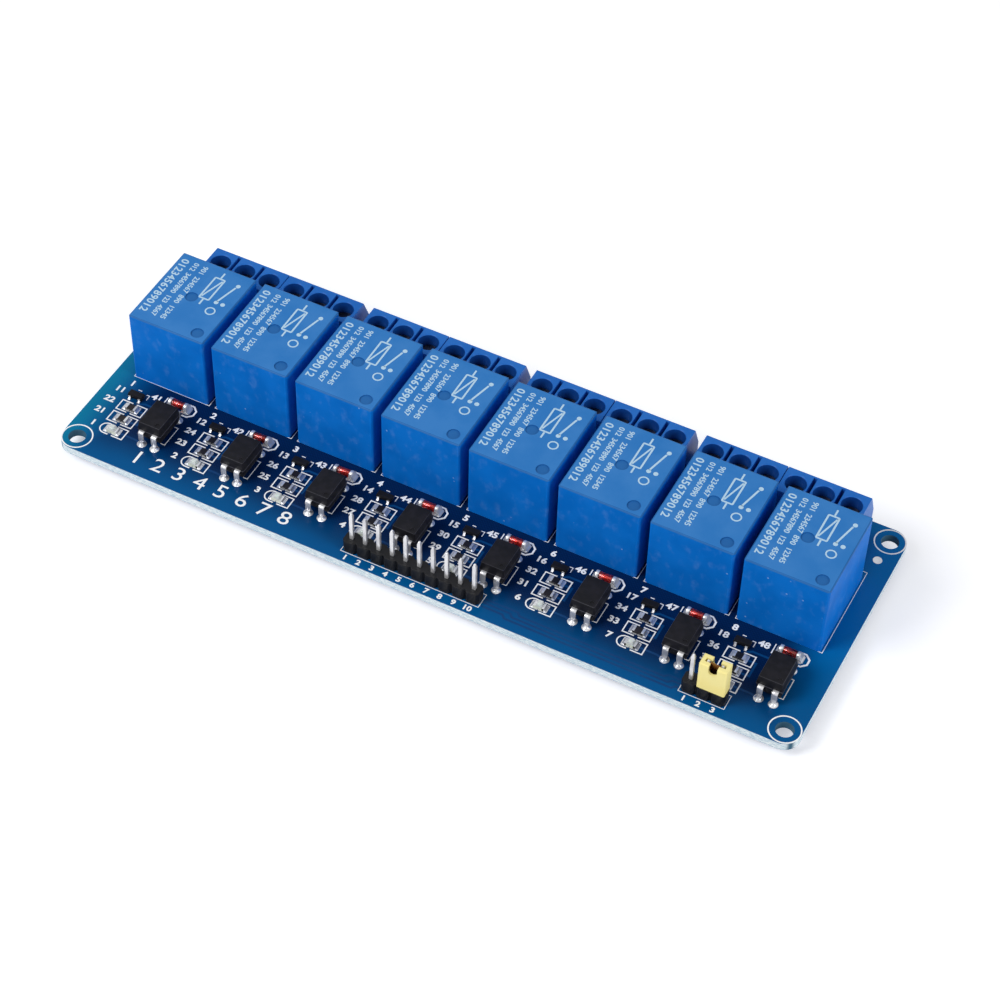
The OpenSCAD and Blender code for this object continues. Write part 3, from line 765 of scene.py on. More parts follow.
class Finishes:
    """Every finish on the board, each made once."""

    def __init__(self, frame: Frame) -> None:
        """Build the materials.

        Args:
            frame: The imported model, for the finishes that follow a piece's edges.
        """
        board = frame.box("circuit_board")
        body = frame.box("optocoupler_bodies")
        self.board = BoardFinish(board.size / 2, board.high.z, board.low.z).make()
        self.optocoupler = MouldedBlack("optocoupler_epoxy", hue(20, 20, 24), hue(28, 27, 32),
                                        body.high.z, body.centre.z).make()
        self.track = Plastic("mask_over_copper", hue(10, 62, 116), hue(14, 70, 124), 0.2,
                             grain=1.6, depth=0.01, shine=0.1).make()
        self.print = InkFinish("white_print", hue(255, 255, 255), hue(226, 234, 242)).make()
        self.stamp = InkFinish("pale_stamp", hue(184, 216, 238), hue(142, 188, 226)).make()
        self.relay = Plastic("relay_case", hue(6, 108, 202), hue(12, 116, 212), 0.40,
                             marks=0.75, shine=0.04).make()
        # Painted sheen: relay tops are paler and greyer than the sides.
        self.relay_top = Plastic("relay_top", hue(44, 120, 194), hue(56, 127, 199), 0.52,
                                 grain=0.25, depth=0.012).make()
        # Painted shade: the dimple floor is darker than the top round it.
        self.dimple = Plastic("relay_dimple_shade", hue(30, 98, 166), hue(36, 104, 172), 0.5,
                              grain=0.25).make()
        self.relay_base = Plastic("relay_base", hue(20, 48, 110), hue(26, 58, 124), 0.3).make()
        self.terminal = Plastic("terminal_block", hue(34, 104, 190), hue(42, 112, 198), 0.34,
                                shine=0.1).make()
        # Painted shade on the walls of the screw wells.
        self.well = Plastic("terminal_well_shade", hue(16, 68, 146), hue(20, 76, 154), 0.34,
                            shine=0.1).make()
        self.bobbin = Plastic("bobbin", hue(226, 220, 196), hue(214, 206, 180), 0.4).make()
        self.epoxy = Plastic("black_epoxy", hue(20, 20, 24), hue(27, 27, 32), 0.42,
                             grain=0.12, depth=0.012, shine=0.12).make()
        self.header = Plastic("header_plastic", hue(16, 16, 18), hue(22, 22, 25), 0.38,
                              grain=0.2, depth=0.008).make()
        self.ceramic = Plastic("chip_top", hue(24, 23, 27), hue(36, 34, 40), 0.22,
                               grain=0.1, depth=0.004).make()
        self.cap = Plastic("jumper_plastic", hue(255, 238, 150), hue(255, 242, 164), 0.42,
                           grain=0.3).make()
        self.laminate = Plastic("lamp_base", hue(224, 228, 212), hue(206, 214, 196), 0.4,
                                grain=0.2).make()
        self.die = Plastic("lamp_die", hue(130, 220, 186), hue(180, 236, 208), 0.3).make()
        self.tin = Metal("tinned_lead", hue(226, 226, 228), hue(200, 200, 204), 0.2,
                         metallic=0.55).make()
        self.solder = Metal("solder", hue(222, 223, 226), hue(176, 180, 190), 0.16,
                            grain=0.7, depth=0.03, metallic=0.5).make()
        self.iron = Metal("plated_iron", hue(170, 172, 176), hue(140, 142, 148), 0.3).make()
        # Screws and cages: their dark bluish grey is partly the plated metal's own and partly
        # painted shade of the wells.
        self.screw = Metal("zinc_screw", hue(92, 96, 108), hue(58, 62, 74), 0.3,
                           grain=0.25).make()
        self.cage = Metal("nickel_cage", hue(110, 112, 118), hue(70, 72, 80), 0.3).make()
        self.silver = Metal("contact_strip", hue(206, 190, 140), hue(184, 168, 120), 0.25).make()
        self.bronze = Metal("bronze_clip", hue(150, 104, 52), hue(96, 60, 26), 0.28).make()
        self.red = Metal("diode_slug", hue(206, 62, 54), hue(112, 26, 24), 0.3,
                         metallic=0.7).make()
        self.copper = WindingFinish("copper_winding", hue(110, 44, 18), hue(190, 96, 48)).make()
        self.glass = ClearGlass("diode_glass", hue(250, 196, 186), 0.03).make()
        self.lens = ClearGlass("lamp_lens", hue(240, 252, 246), 0.1, clear=0.3).make()


# ---------- Meshes under construction, in millimetres ----------


class Form:
    """A mesh shaped by operators in millimetres, and turned into one object in metres."""

    def __init__(self) -> None:
        """Start an empty form."""
        self.bm = bmesh.new()
        self.shaded = False

    def block(self, low: Vector, high: Vector) -> None:
        """Add a block between two corners."""
        matrix = Matrix.Translation((low + high) / 2) @ Matrix.Diagonal((*(high - low), 1.0))
        bmesh.ops.create_cube(self.bm, size=1.0, matrix=matrix)

    def disc(self, centre: Point3, radius: float, segments: int = 32) -> Face:
        """Add a flat round face.

        Args:
            centre: Middle of the disc.
            radius: Its radius.
            segments: Number of its corners.

        Returns:
            The face.
        """
        made = bmesh.ops.create_circle(
            self.bm, cap_ends=True, segments=segments, radius=radius,
            matrix=Matrix.Translation(centre))
        return made["verts"][0].link_faces[0]

    def panel(self, low: Point2, high: Point2, height: float) -> Face:
        """Add a flat rectangle and return its face."""
        points = ((low[0], low[1]), (high[0], low[1]), (high[0], high[1]), (low[0], high[1]))
        return self.bm.faces.new([self.bm.verts.new((x, y, height)) for x, y in points])

    def round_corners(self, face: Face, radius: float, segments: int = 4) -> Face:
        """Round a flat face's corners.

        Args:
            face: The face.
            radius: Radius of the corners.
            segments: Edges across each corner.

        Returns:
            The rounded face.
        """
        made = bmesh.ops.bevel(
            self.bm, geom=face.verts[:], offset=radius, offset_type="OFFSET", segments=segments,
            profile=0.5, affect="VERTICES", material=-1, clamp_overlap=True)
        return made["verts"][0].link_faces[0]

    def thicken(self, faces: Sequence[Face], by: Point3) -> None:
        """Extrude flat faces, closed all round.

        Args:
            faces: The faces.
            by: How far they are extruded.
        """
        made = bmesh.ops.extrude_face_region(self.bm, geom=list(faces), use_keep_orig=True)
        verts = [g for g in made["geom"] if isinstance(g, Vert)]
        bmesh.ops.translate(self.bm, vec=by, verts=verts)

    def push(self, face: Face, by: Point3) -> Face:
        """Extrude the end face of a bar.

        The old end face goes, unless the form is still a single block. So the start of every bar
        after the first one is open, and it has to be hidden.

        Args:
            face: The end face.
            by: How far it is extruded.

        Returns:
            The new end face.
        """
        made = bmesh.ops.extrude_face_region(self.bm, geom=[face])
        end = next(g for g in made["geom"] if isinstance(g, Face))
        bmesh.ops.translate(self.bm, vec=by, verts=end.verts)
        if face.is_valid and len(self.bm.faces) > BLOCK_FACES:
            bmesh.ops.delete(self.bm, geom=[face], context="FACES_ONLY")
        return end

    def outline(self, face: Face, width: float, height: float) -> None:
        """Turn a flat face into a raised line along its edge.

        Args:
            face: The face, which goes.
            width: Width of the line, inwards.
            height: Height of the line, upwards.
        """
        face.normal_update()
        bmesh.ops.inset_region(self.bm, faces=[face], thickness=width, use_boundary=True)
        rim = dict.fromkeys(f for e in face.edges for f in e.link_faces if f is not face)
        bmesh.ops.delete(self.bm, geom=[face], context="FACES_ONLY")
        self.thicken(list(rim), (0, 0, height))

    def shade(self, crease: float = 35.0) -> None:
        """Shade the facets of curved walls smoothly and leave the flat faces flat.

        Args:
            crease: Largest angle between two facets of one curved wall, in degrees.
        """
        low, high = math.radians(0.5), math.radians(crease)
        for face in self.bm.faces:
            face.smooth = any(low < edge.calc_face_angle(0.0) < high for edge in face.edges)
        self.shaded = True

    def soften(self, width: float, segments: int = 2, angle: float = 30.0,
               shortest: float = 0.0) -> None:
        """Round the sharp edges.

        Args:
            width: Width of the rounding.
            segments: Faces across the rounding.
            angle: Smallest angle between two faces that is rounded, in degrees.
            shortest: Length of the shortest edge that is rounded.
        """
        self.shade(angle)
        chosen = [e for e in self.bm.edges
                  if len(e.link_faces) == 2 and e.calc_length() > shortest
                  and e.calc_face_angle(0.0) > math.radians(angle)]
        made = bmesh.ops.bevel(
            self.bm, geom=chosen, offset=width, offset_type="OFFSET", segments=segments,
            profile=0.5, affect="EDGES", material=-1, clamp_overlap=True, loop_slide=True)
        for face in made["faces"]:
            face.smooth = True

    def lathe(self, profile: Sequence[Point2], centre: Vector, axis: Vector,
              segments: int = 24) -> None:
        """Spin a profile of (radius, distance along the axis) points round an axis.

        Args:
            profile: Points of the profile; a first and last radius of 0 close it.
            centre: Point of the axis where the distance is 0.
            axis: Direction of the axis.
            segments: Steps round the axis.
        """
        along = axis.normalized()
        out = along.orthogonal().normalized()
        points = [self.bm.verts.new(centre + out * r + along * d) for r, d in profile]
        edges = [self.bm.edges.new(pair) for pair in zip(points, points[1:])]
        made = bmesh.ops.spin(
            self.bm, geom=points + edges, cent=centre, axis=along, dvec=(0, 0, 0),
            angle=math.tau, steps=segments, use_merge=True, use_duplicate=False)
        last = [g for g in made["geom_last"] if isinstance(g, Vert)]
        bmesh.ops.remove_doubles(self.bm, verts=joined(last + points), dist=MERGE)

    def take(self, other: bmesh.types.BMesh) -> None:
        """Add the faces of another mesh, and free it.

        Args:
            other: The mesh, in millimetres.
        """
        mesh = bpy.data.meshes.new("transfer")
        other.to_mesh(mesh)
        self.bm.from_mesh(mesh)
        bpy.data.meshes.remove(mesh)
        other.free()

    def placed(self, name: str, finish: Material) -> bpy.types.Object:
        """Turn the form into an object at the origin, in metres.

        Args:
            name: Name of the object.
            finish: Its material.

        Returns:
            The object.
        """
        bmesh.ops.scale(self.bm, vec=(MM, MM, MM), verts=self.bm.verts)
        mesh = bpy.data.meshes.new(name)
        self.bm.to_mesh(mesh)
        self.bm.free()
        mesh.materials.append(finish)
        made = bpy.data.objects.new(name, mesh)
        bpy.context.scene.collection.objects.link(made)
        return made

    def piece(self, name: str, finish: Material, body: Body = Body.BOARD,
              slot: Slot | None = None, replaces: Sequence[str] = (), crease: float = 35.0,
              outward: bool = False) -> bpy.types.Object:
        """Turn the form into an object that rides on a body.

        Args:
            name: Name of the piece.
            finish: Its material.
            body: The body that it rides on.
            slot: The record's material slot that it stands for; not used.
            replaces: CAD nodes that it stands for.
            crease: Angle above which an edge stays sharp, in degrees.
            outward: Whether its faces still have to be turned outwards.

        Returns:
            The new object.
        """
        if outward:
            bmesh.ops.recalc_face_normals(self.bm, faces=self.bm.faces)
        if not self.shaded:
            self.shade(crease)
        for edge in self.bm.edges:
            if len(edge.link_faces) == 2:
                edge.smooth = edge.calc_face_angle(0.0) < math.radians(crease)
        made = self.placed(name, finish)
        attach(made, body.value)
        if replaces:
            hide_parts(*replaces)
        LOG.info("%s: %d faces", name, len(made.data.polygons))
        return made


@dataclass
class Assembly:
    """A group of pieces that are built from the same frame and finishes."""

    frame: Frame
    finishes: Finishes

    def paint(self, node: str, finish: Material) -> None:
        """Give a CAD node a finish and leave its mesh as it is.

        Args:
            node: Name of the node.
            finish: The finish.
        """
        slots = self.frame.nodes[node].data.materials
        slots.clear()
        slots.append(finish)
        LOG.info("%s: painted", node)

    def fine(self, node: str, finish: Material, rounding: float, slot: Slot,
             body: Body = Body.BOARD, segments: int = 2,
             shortest: float = 0.0) -> bpy.types.Object:
        """Stand a copy of a CAD node, with its sharp edges rounded, in place of the node.

        Args:
            node: Name of the node.
            finish: Material of the copy.
            rounding: Width of the rounding, or 0 for none.
            slot: The record's material slot.
            body: The body that the piece rides on.
            segments: Faces across each rounding.
            shortest: Length of the shortest edge that is rounded.

        Returns:
            The new object.
        """
        form = Form()
        form.take(self.frame.merged(node))
        bmesh.ops.dissolve_limit(
            form.bm, angle_limit=math.radians(1.0), verts=form.bm.verts, edges=form.bm.edges)
        if rounding:
            form.soften(rounding, segments, shortest=shortest)
        return form.piece("fine_" + node, finish, body, slot, (node,))


# ---------- Print ----------


@dataclass
class Ink:
    """White print on flat faces: raised by less than a hair, so that it catches no shadow."""

    thick: float = HAIR
    line: float = 0.2
    cap_height: float = 0.73  # height of a digit in a font of size 1
    form: Form = field(default_factory=Form)

    def box_line(self, low: Point2, high: Point2, z: float, corner: float = 0.0,
                 width: float = 0.0) -> None:
        """Print a rectangle's outline.

        Args:
            low: Its lower left corner.
            high: Its upper right corner.
            z: Height of the face that it is printed on.
            corner: Radius of its corners, or 0 for sharp ones.
            width: Width of the line, or 0 for the usual one.
        """
        face = self.form.panel(low, high, z)
        if corner:
            face = self.form.round_corners(face, corner)
        self.form.outline(face, width or self.line, self.thick)

    def path(self, points: Sequence[Point2], z: float, width: float = 0.0) -> None:
        """Print an open line through some points, with mitred joints.

        Args:
            points: The points.
            z: Height of the face that it is printed on.
            width: Width of the line, or 0 for the usual one.
        """
        half = (width or self.line) / 2
        line = [Vector(point) for point in points]
        runs = [(end - start).normalized() for start, end in zip(line, line[1:])]
        runs = [runs[0], *runs, runs[-1]]
        rows = []
        for point, before, after in zip(line, runs, runs[1:]):
            across = Vector((-before.y - after.y, before.x + after.x)).normalized()
            reach = across * half / across.dot(Vector((-after.y, after.x)))
            ends = [(*(point + side * reach), z) for side in (-1, 1)]
            rows.append([self.form.bm.verts.new(end) for end in ends])
        faces = [self.form.bm.faces.new((first[0], second[0], second[1], first[1]))
                 for first, second in zip(rows, rows[1:])]
        self.form.thicken(faces, (0, 0, self.thick))

    def ring(self, centre: Point3, radius: float, width: float, segments: int) -> None:
        """Print a circle."""
        self.form.outline(self.form.disc(centre, radius, segments), width, self.thick)

    def dot(self, centre: Point3, radius: float) -> None:
        """Print a filled circle."""
        self.form.thicken([self.form.disc(centre, radius, 20)], (0, 0, self.thick))

    def number(self, text: str, centre: Point2, z: float, height: float, turn: float = 0.0,
               wide: float = 1.15, weight: float = 0.035) -> None:
        """Print a plain number.

        Args:
            text: The digits.
            centre: Middle of the number.
            z: Height of the face that it is printed on.
            height: Height of the digits.
            turn: Turn about Z, in degrees.
            wide: Stretch of the digits along the line.
            weight: Extra weight of the strokes, as a share of the height.
        """
        curve = bpy.data.curves.new("digits", "FONT")
        curve.body = text
        curve.size = 1.0
        curve.align_x = curve.align_y = "CENTER"
        curve.resolution_u = 3
        curve.extrude = 0.5
        curve.offset = weight
        holder = bpy.data.objects.new("digits", curve)
        bpy.context.scene.collection.objects.link(holder)
        mesh = holder.to_mesh()
        before = set(self.form.bm.verts)
        self.form.bm.from_mesh(mesh)
        holder.to_mesh_clear()
        bpy.data.objects.remove(holder)
        bpy.data.curves.remove(curve)
        size = height / self.cap_height
        matrix = (Matrix.Translation((*centre, z + self.thick / 2))
                  @ Matrix.Rotation(math.radians(turn), 4, "Z")
                  @ Matrix.Diagonal((size * wide, size, self.thick, 1.0)))
        made = [v for v in self.form.bm.verts if v not in before]
        bmesh.ops.transform(self.form.bm, matrix=matrix, verts=made)

    def finish(self, name: str, finish: Material) -> None:
        """Turn the print into a piece on the board."""
        bmesh.ops.remove_doubles(self.form.bm, verts=self.form.bm.verts, dist=MERGE)
        self.form.piece(name, finish, crease=20.0, outward=True)


# ---------- Circuit board ----------


@dataclass
class CircuitBoard(Assembly):
    """The board's mask, its plated rings and the tinned ends of its copper."""

    lead_pads: tuple[tuple[str, float], ...] = (
        ("relay_common_pins", 1.25), ("relay_coil_pins", 1.25), ("terminal_pins", 1.3),
        ("signal_header_pins", 0.9), ("power_header_pins", 0.9))
    chip_lands: tuple[tuple[str, float], ...] = (
        ("resistor_ends", 1.75), ("indicator_ends", 1.75), ("diode_caps", 1.9))
    ring_width: float = 0.42
    ring_sides: int = 20
    foot_pad: float = 0.85
    foot_shift: float = 0.125  # from a lead's outer face to the middle of its narrow foot
    land_length: float = 1.5
    land_corner: float = 0.12
    sight_mark: Point2 = (65.86, 17.41)
    sight_radius: float = 0.8
    foil: float = 0.035

    def build(self) -> None:
        """Dress the board, and lay rings round the leads and lands under the chips."""
        self.paint("circuit_board", self.finishes.board)
        box = self.frame.box("circuit_board")
        form = Form()
        for node, radius in self.lead_pads:
            for lead in self.frame.solids(node):
                self.ring(form, lead.centre.xy, radius, box)
        bodies = self.frame.solids("optocoupler_bodies")
        for lead in self.frame.solids("optocoupler_leads"):
            in_front = lead.centre.y < nearest(bodies, lead.centre).centre.y
            y = lead.low.y + self.foot_shift if in_front else lead.high.y - self.foot_shift
            self.ring(form, (lead.centre.x, y), self.foot_pad, box)
        for node, width in self.chip_lands:
            for end in self.frame.solids(node):
                self.land(form, end.centre, width, box.high.z)
        mark = form.disc((*self.sight_mark, box.high.z), self.sight_radius, 24)
        form.thicken([mark], (0, 0, self.foil))
        form.piece("tinned_pads", self.finishes.solder, slot=Slot.SOLDER, outward=True)

    def ring(self, form: Form, centre: Point2, radius: float, box: Box) -> None:
        """Lay a ring on both faces of the board.

        Args:
            form: Form to add it to.
            centre: Middle of the ring.
            radius: Its outer radius.
            box: Box of the board.
        """
        for z, lift in ((box.high.z, self.foil), (box.low.z, -self.foil)):
            form.outline(form.disc((*centre, z), radius, self.ring_sides), self.ring_width, lift)

    def land(self, form: Form, centre: Vector, width: float, z: float) -> None:
        """Lay a soldered rectangle under the end of a part.

        Args:
            form: Form to add it to.
            centre: Middle of the part's end.
            width: Width of the land, along Y.
            z: Height of the board's top.
        """
        low = (centre.x - self.land_length / 2, centre.y - width / 2)
        high = (centre.x + self.land_length / 2, centre.y + width / 2)
        face = form.round_corners(form.panel(low, high, z), self.land_corner, 2)
        form.thicken([face], (0, 0, self.foil))


@dataclass
class Tracks(Assembly):
    """Copper tracks that show faintly through the solder mask.

    A channel's runs are given from the X of its relay's common pin.
    """

    channel_runs: tuple[Run, ...] = (
        ((-2.8, -18.2), (0.9, -18.2), (1.5, -18.35), (2.45, -18.35)),
        ((2.45, -11.0), (1.5, -10.3), (-2.2, -10.3), (-3.2, -10.9)),
        ((-2.8, -12.3), (-0.7, -12.3), (-0.7, -15.2), (-2.8, -15.2)))
    thick: float = 0.012
    fine_width: float = 0.4
    heavy_width: float = 2.2
    spacing: float = 0.8  # between the supply tracks
    jog: float = 0.6  # by which they bend towards the edge

    def build(self) -> None:
        """Lay the tracks on both faces."""
        board = self.frame.box("circuit_board")
        top, under = Ink(thick=self.thick), Ink(thick=-self.thick)
        for pin in self.frame.solids("relay_common_pins"):
            for run in self.channel_runs:
                points = [(pin.centre.x + x, y) for x, y in run]
                top.path(points, board.high.z, self.fine_width)
        self.supply(top, board.high.z)
        self.contacts(under, board.low.z)
        top.finish("top_tracks", self.finishes.track)
        under.finish("under_tracks", self.finishes.track)

    def supply(self, ink: Ink, z: float) -> None:
        """Run three tracks between the two headers along the front edge.

        Args:
            ink: Print to add them to.
            z: Height of the board's top.
        """
        signal = self.frame.box("signal_header_body")
        power = self.frame.box("power_header_body")
        start, end = signal.high.x + 0.4, power.low.x - 0.4
        for row in range(3):
            y = signal.high.y - 0.55 - self.spacing * row
            ink.path([(start, y), (start + 6.0 - row, y), (start + 6.6 - row, y - self.jog),
                      (end - 3.0 + row, y - self.jog), (end - 2.4 + row, y), (end, y)],
                     z, self.fine_width)

    def contacts(self, ink: Ink, z: float) -> None:
        """Run heavy tracks from the terminal pins to the relay contacts.

        Args:
            ink: Print to add them to.
            z: Height of the board's underside.
        """
        commons = self.frame.solids("relay_common_pins")
        coils = self.frame.solids("relay_coil_pins")
        cases = self.frame.numbered("relay_cover")
        for index, pin in enumerate(self.frame.solids("terminal_pins")):
            channel, place = divmod(index, 3)
            common = commons[channel].centre
            inset = abs(coils[2 * channel].centre.x - common.x)
            x = common.x + (place - 1) * inset
            middle = self.frame.box(cases[channel]).centre.y
            y = common.y if place == 1 else 2 * middle - common.y
            bend = pin.centre.y - 2.2
            ink.path([pin.centre.xy, (pin.centre.x, bend), (x, bend - 1.6), (x, y)],
                     z, self.heavy_width)


@dataclass
class Solder(Assembly):
    """Solder joints: hollow cones round the leads and hollow fillets at the chips' ends.

    The cone's steps are shares of its radius and height, and the fillet's are shares of its
    length and height.
    """

    sides: int = 14
    cone_steps: Run = (
        (0.0, 0.0), (0.92, 0.0), (0.9, 0.06), (0.74, 0.2), (0.58, 0.45), (0.47, 0.75),
        (0.4, 0.96), (0.0, 1.0))
    fillet_steps: Run = (
        (0.0, 0.0), (1.0, 0.0), (0.96, 0.1), (0.6, 0.26), (0.3, 0.55), (0.12, 0.9), (0.0, 1.0))

    def build(self) -> None:
        """Build every joint in place of the plain cones and wedges."""
        cones, fillets = Form(), Form()
        board = self.frame.box("circuit_board")
        for solid in self.frame.solids("lead_solder"):
            side = Side.TOP if solid.centre.z > board.centre.z else Side.UNDER
            base = board.high.z if side is Side.TOP else board.low.z
            foot = Vector((solid.centre.x, solid.centre.y, base))
            profile = [(solid.size.x / 2 * r, solid.size.z * h) for r, h in self.cone_steps]
            cones.lathe(profile, foot, Vector((0, 0, side.value)), self.sides)
        parts = [part for node in ("resistor_bodies", "indicator_bases", "diode_glass")
                 for part in self.frame.solids(node)]
        for solid in self.frame.solids("surface_solder"):
            self.fillet(fillets, solid, solid.centre.x > nearest(parts, solid.centre).centre.x)
        cones.piece("solder_joints", self.finishes.solder, slot=Slot.SOLDER,
                    replaces=("lead_solder",), crease=80.0, outward=True)
        fillets.piece("solder_fillets", self.finishes.solder, slot=Slot.SOLDER,
                      replaces=("surface_solder",), crease=60.0, outward=True)

    def fillet(self, form: Form, solid: Box, rightward: bool) -> None:
        """Extrude a hollow-faced fillet.

        Args:
            form: Form to add it to.
            solid: Box of the plain wedge.
            rightward: Whether it slopes down to the right.
        """
        inner = solid.low.x if rightward else solid.high.x
        length = solid.size.x if rightward else -solid.size.x
        points = [(inner + length * x, solid.low.y, solid.low.z + solid.size.z * z)
                  for x, z in self.fillet_steps]
        face = form.bm.faces.new([form.bm.verts.new(point) for point in points])
        form.thicken([face], (0, solid.size.y, 0))


# ---------- Relays ----------


@dataclass
class RelayPrint:
    """Pale stamp on a relay's top: rows of plain digits and the sketch of a coil and a switch.

    A row is its digits, its X from the middle of the case and its height. The sketch's points are
    given from its own middle.
    """

    ink: Ink
    rows: tuple[tuple[str, float, float], ...] = (
        ("0123456789012", -6.0, 1.45), ("012 34567890 123 4567", -3.8, 1.0),
        ("901 234567 890 12345", -1.95, 1.0))
    length: float = 14.6
    middle: float = 0.3
    sketch: Point2 = (3.3, 3.4)
    coil: tuple[Point2, Point2] = ((-2.6, -2.9), (-0.4, 2.9))
    lines: tuple[tuple[Run, float], ...] = (
        (((-2.2, -2.35), (-0.8, 2.35)), 0.3), (((0.9, -2.3), (2.0, 2.1)), 0.34),
        (((-1.5, -2.95), (-1.5, -4.3)), 0.32), (((-1.5, 2.95), (-1.5, 4.3)), 0.32))
    dots: Run = ((2.2, -2.6), (2.2, 2.6), (0.9, -2.6))
    eye: Point2 = (1.1, -4.9)

    def stamp(self, centre: Vector, top: float) -> None:
        """Print one relay's top.

        Args:
            centre: Middle of the case.
            top: Height of its top face.
        """
        for text, x, tall in self.rows:
            pitch = self.length / len(text)
            for place, digit in enumerate(text):
                if digit != " ":
                    y = centre.y + self.middle + self.length / 2 - (place + 0.5) * pitch
                    self.ink.number(digit, (centre.x + x, y), top, tall, turn=-90.0,
                                    wide=1.05, weight=0.02)
        self.draw(centre.x + self.sketch[0], centre.y + self.sketch[1], top)

    def draw(self, x: float, y: float, top: float) -> None:
        """Print the sketch.

        Args:
            x: X of its middle.
            y: Y of its middle.
            top: Height of the relay's top.
        """
        low, high = ((x + dx, y + dy) for dx, dy in self.coil)
        self.ink.box_line(low, high, top, corner=0.3, width=0.32)
        for run, width in self.lines:
            self.ink.path([(x + dx, y + dy) for dx, dy in run], top, width)
        for dx, dy in self.dots:
            self.ink.dot((x + dx, y + dy, top), 0.42)
        self.ink.ring((x + self.eye[0], y + self.eye[1], top), 0.95, 0.26, 32)


@dataclass
class Relays(Assembly):
    """Eight sealed relays: cases with their print, and the mechanism inside."""

    dimple_depth: float = 0.3

    def build(self) -> None:
        """Build the cases and dress the mechanism."""
        ink = Ink()
        stamp = RelayPrint(ink)
        for node in self.frame.numbered("relay_cover"):
            box = self.frame.box(node)
            self.case(node)
            stamp.stamp(box.centre, box.high.z)
        ink.finish("relay_print", self.finishes.stamp)
        self.mechanism()

    def case(self, node: str) -> None:
        """Dress one case, with a paler colour on its top face as painted sheen and a darker colour
        in the dimple as painted shade.

        Args:
            node: Name of the case's node.
        """
        piece = self.fine(node, self.finishes.relay, 0.0, Slot.RELAY)
        piece.data.materials.append(self.finishes.relay_top)
        piece.data.materials.append(self.finishes.dimple)
        top = self.frame.box(node).high.z * MM
        for face in piece.data.polygons:
            # Painted sheen: the top face takes the paler top finish.
            if face.center.z > top - HAIR * MM:
                face.material_index = 1
            # Painted shade: faces within the dimple's depth take the darker finish.
            elif face.center.z > top - self.dimple_depth * MM:
                face.material_index = 2

    def mechanism(self) -> None:
        """Dress the pieces inside the cases."""
        finishes = self.finishes
        looks = {
            "relay_bases": finishes.relay_base, "relay_bobbins": finishes.bobbin,
            "relay_coils": finishes.copper, "relay_cores": finishes.iron,
            "relay_yokes": finishes.iron, "relay_common_pins": finishes.tin,
            "relay_coil_pins": finishes.tin, "relay_open_contacts": finishes.silver,
            "relay_closed_contacts": finishes.silver}
        looks |= dict.fromkeys(self.frame.numbered("relay_armature"), finishes.iron)
        for node, finish in looks.items():
            self.paint(node, finish)


# ---------- Terminal blocks ----------


@dataclass
class TerminalBlocks(Assembly):
    """Screw terminal blocks with their cages and screws."""

    rounding: float = 0.07
    longest_plain: float = 4.0  # shorter edges stay sharp
    well_reach: float = 2.1
    half_block: float = 20.0  # no screw of a block is further from its first corner

    def build(self) -> None:
        """Dress the blocks and what they hold."""
        for node in self.frame.numbered("terminal_housing"):
            piece = self.fine(node, self.finishes.terminal, self.rounding, Slot.TERMINAL,
                              shortest=self.longest_plain)
            self.shade_wells(piece)
        self.fine("terminal_screws", self.finishes.screw, 0.08, Slot.SCREW)
        self.paint("terminal_cages", self.finishes.cage)
        self.paint("terminal_wire_guards", self.finishes.cage)
        self.paint("terminal_pins", self.finishes.tin)

    def shade_wells(self, piece: bpy.types.Object) -> None:
        """Give the walls of the screw wells painted shade: a darker blue than the rest of the
        block.

        Args:
            piece: A terminal block.
        """
        piece.data.materials.append(self.finishes.well)
        corner = piece.data.vertices[0].co.x / MM
        near = [screw for screw in self.frame.solids("terminal_screws")
                if abs(screw.centre.x - corner) < self.half_block]
        # Painted shade: upright faces round each screw take the darker finish.
        for face in piece.data.polygons:
            if abs(face.normal.z) < 0.5 and any(self.in_well(face, screw) for screw in near):
                face.material_index = 1

    def in_well(self, face: bpy.types.MeshPolygon, screw: Box) -> bool:
        """Tell whether a face lies on the wall round a screw.

        Args:
            face: Face of a terminal block.
            screw: Box of the screw.

        Returns:
            Whether it does.
        """
        away = face.center.xy / MM - screw.centre.xy
        inward = away.dot(face.normal.xy) < 0.0
        return away.length < self.well_reach and face.center.z > screw.low.z * MM and inward


# ---------- Driver parts ----------


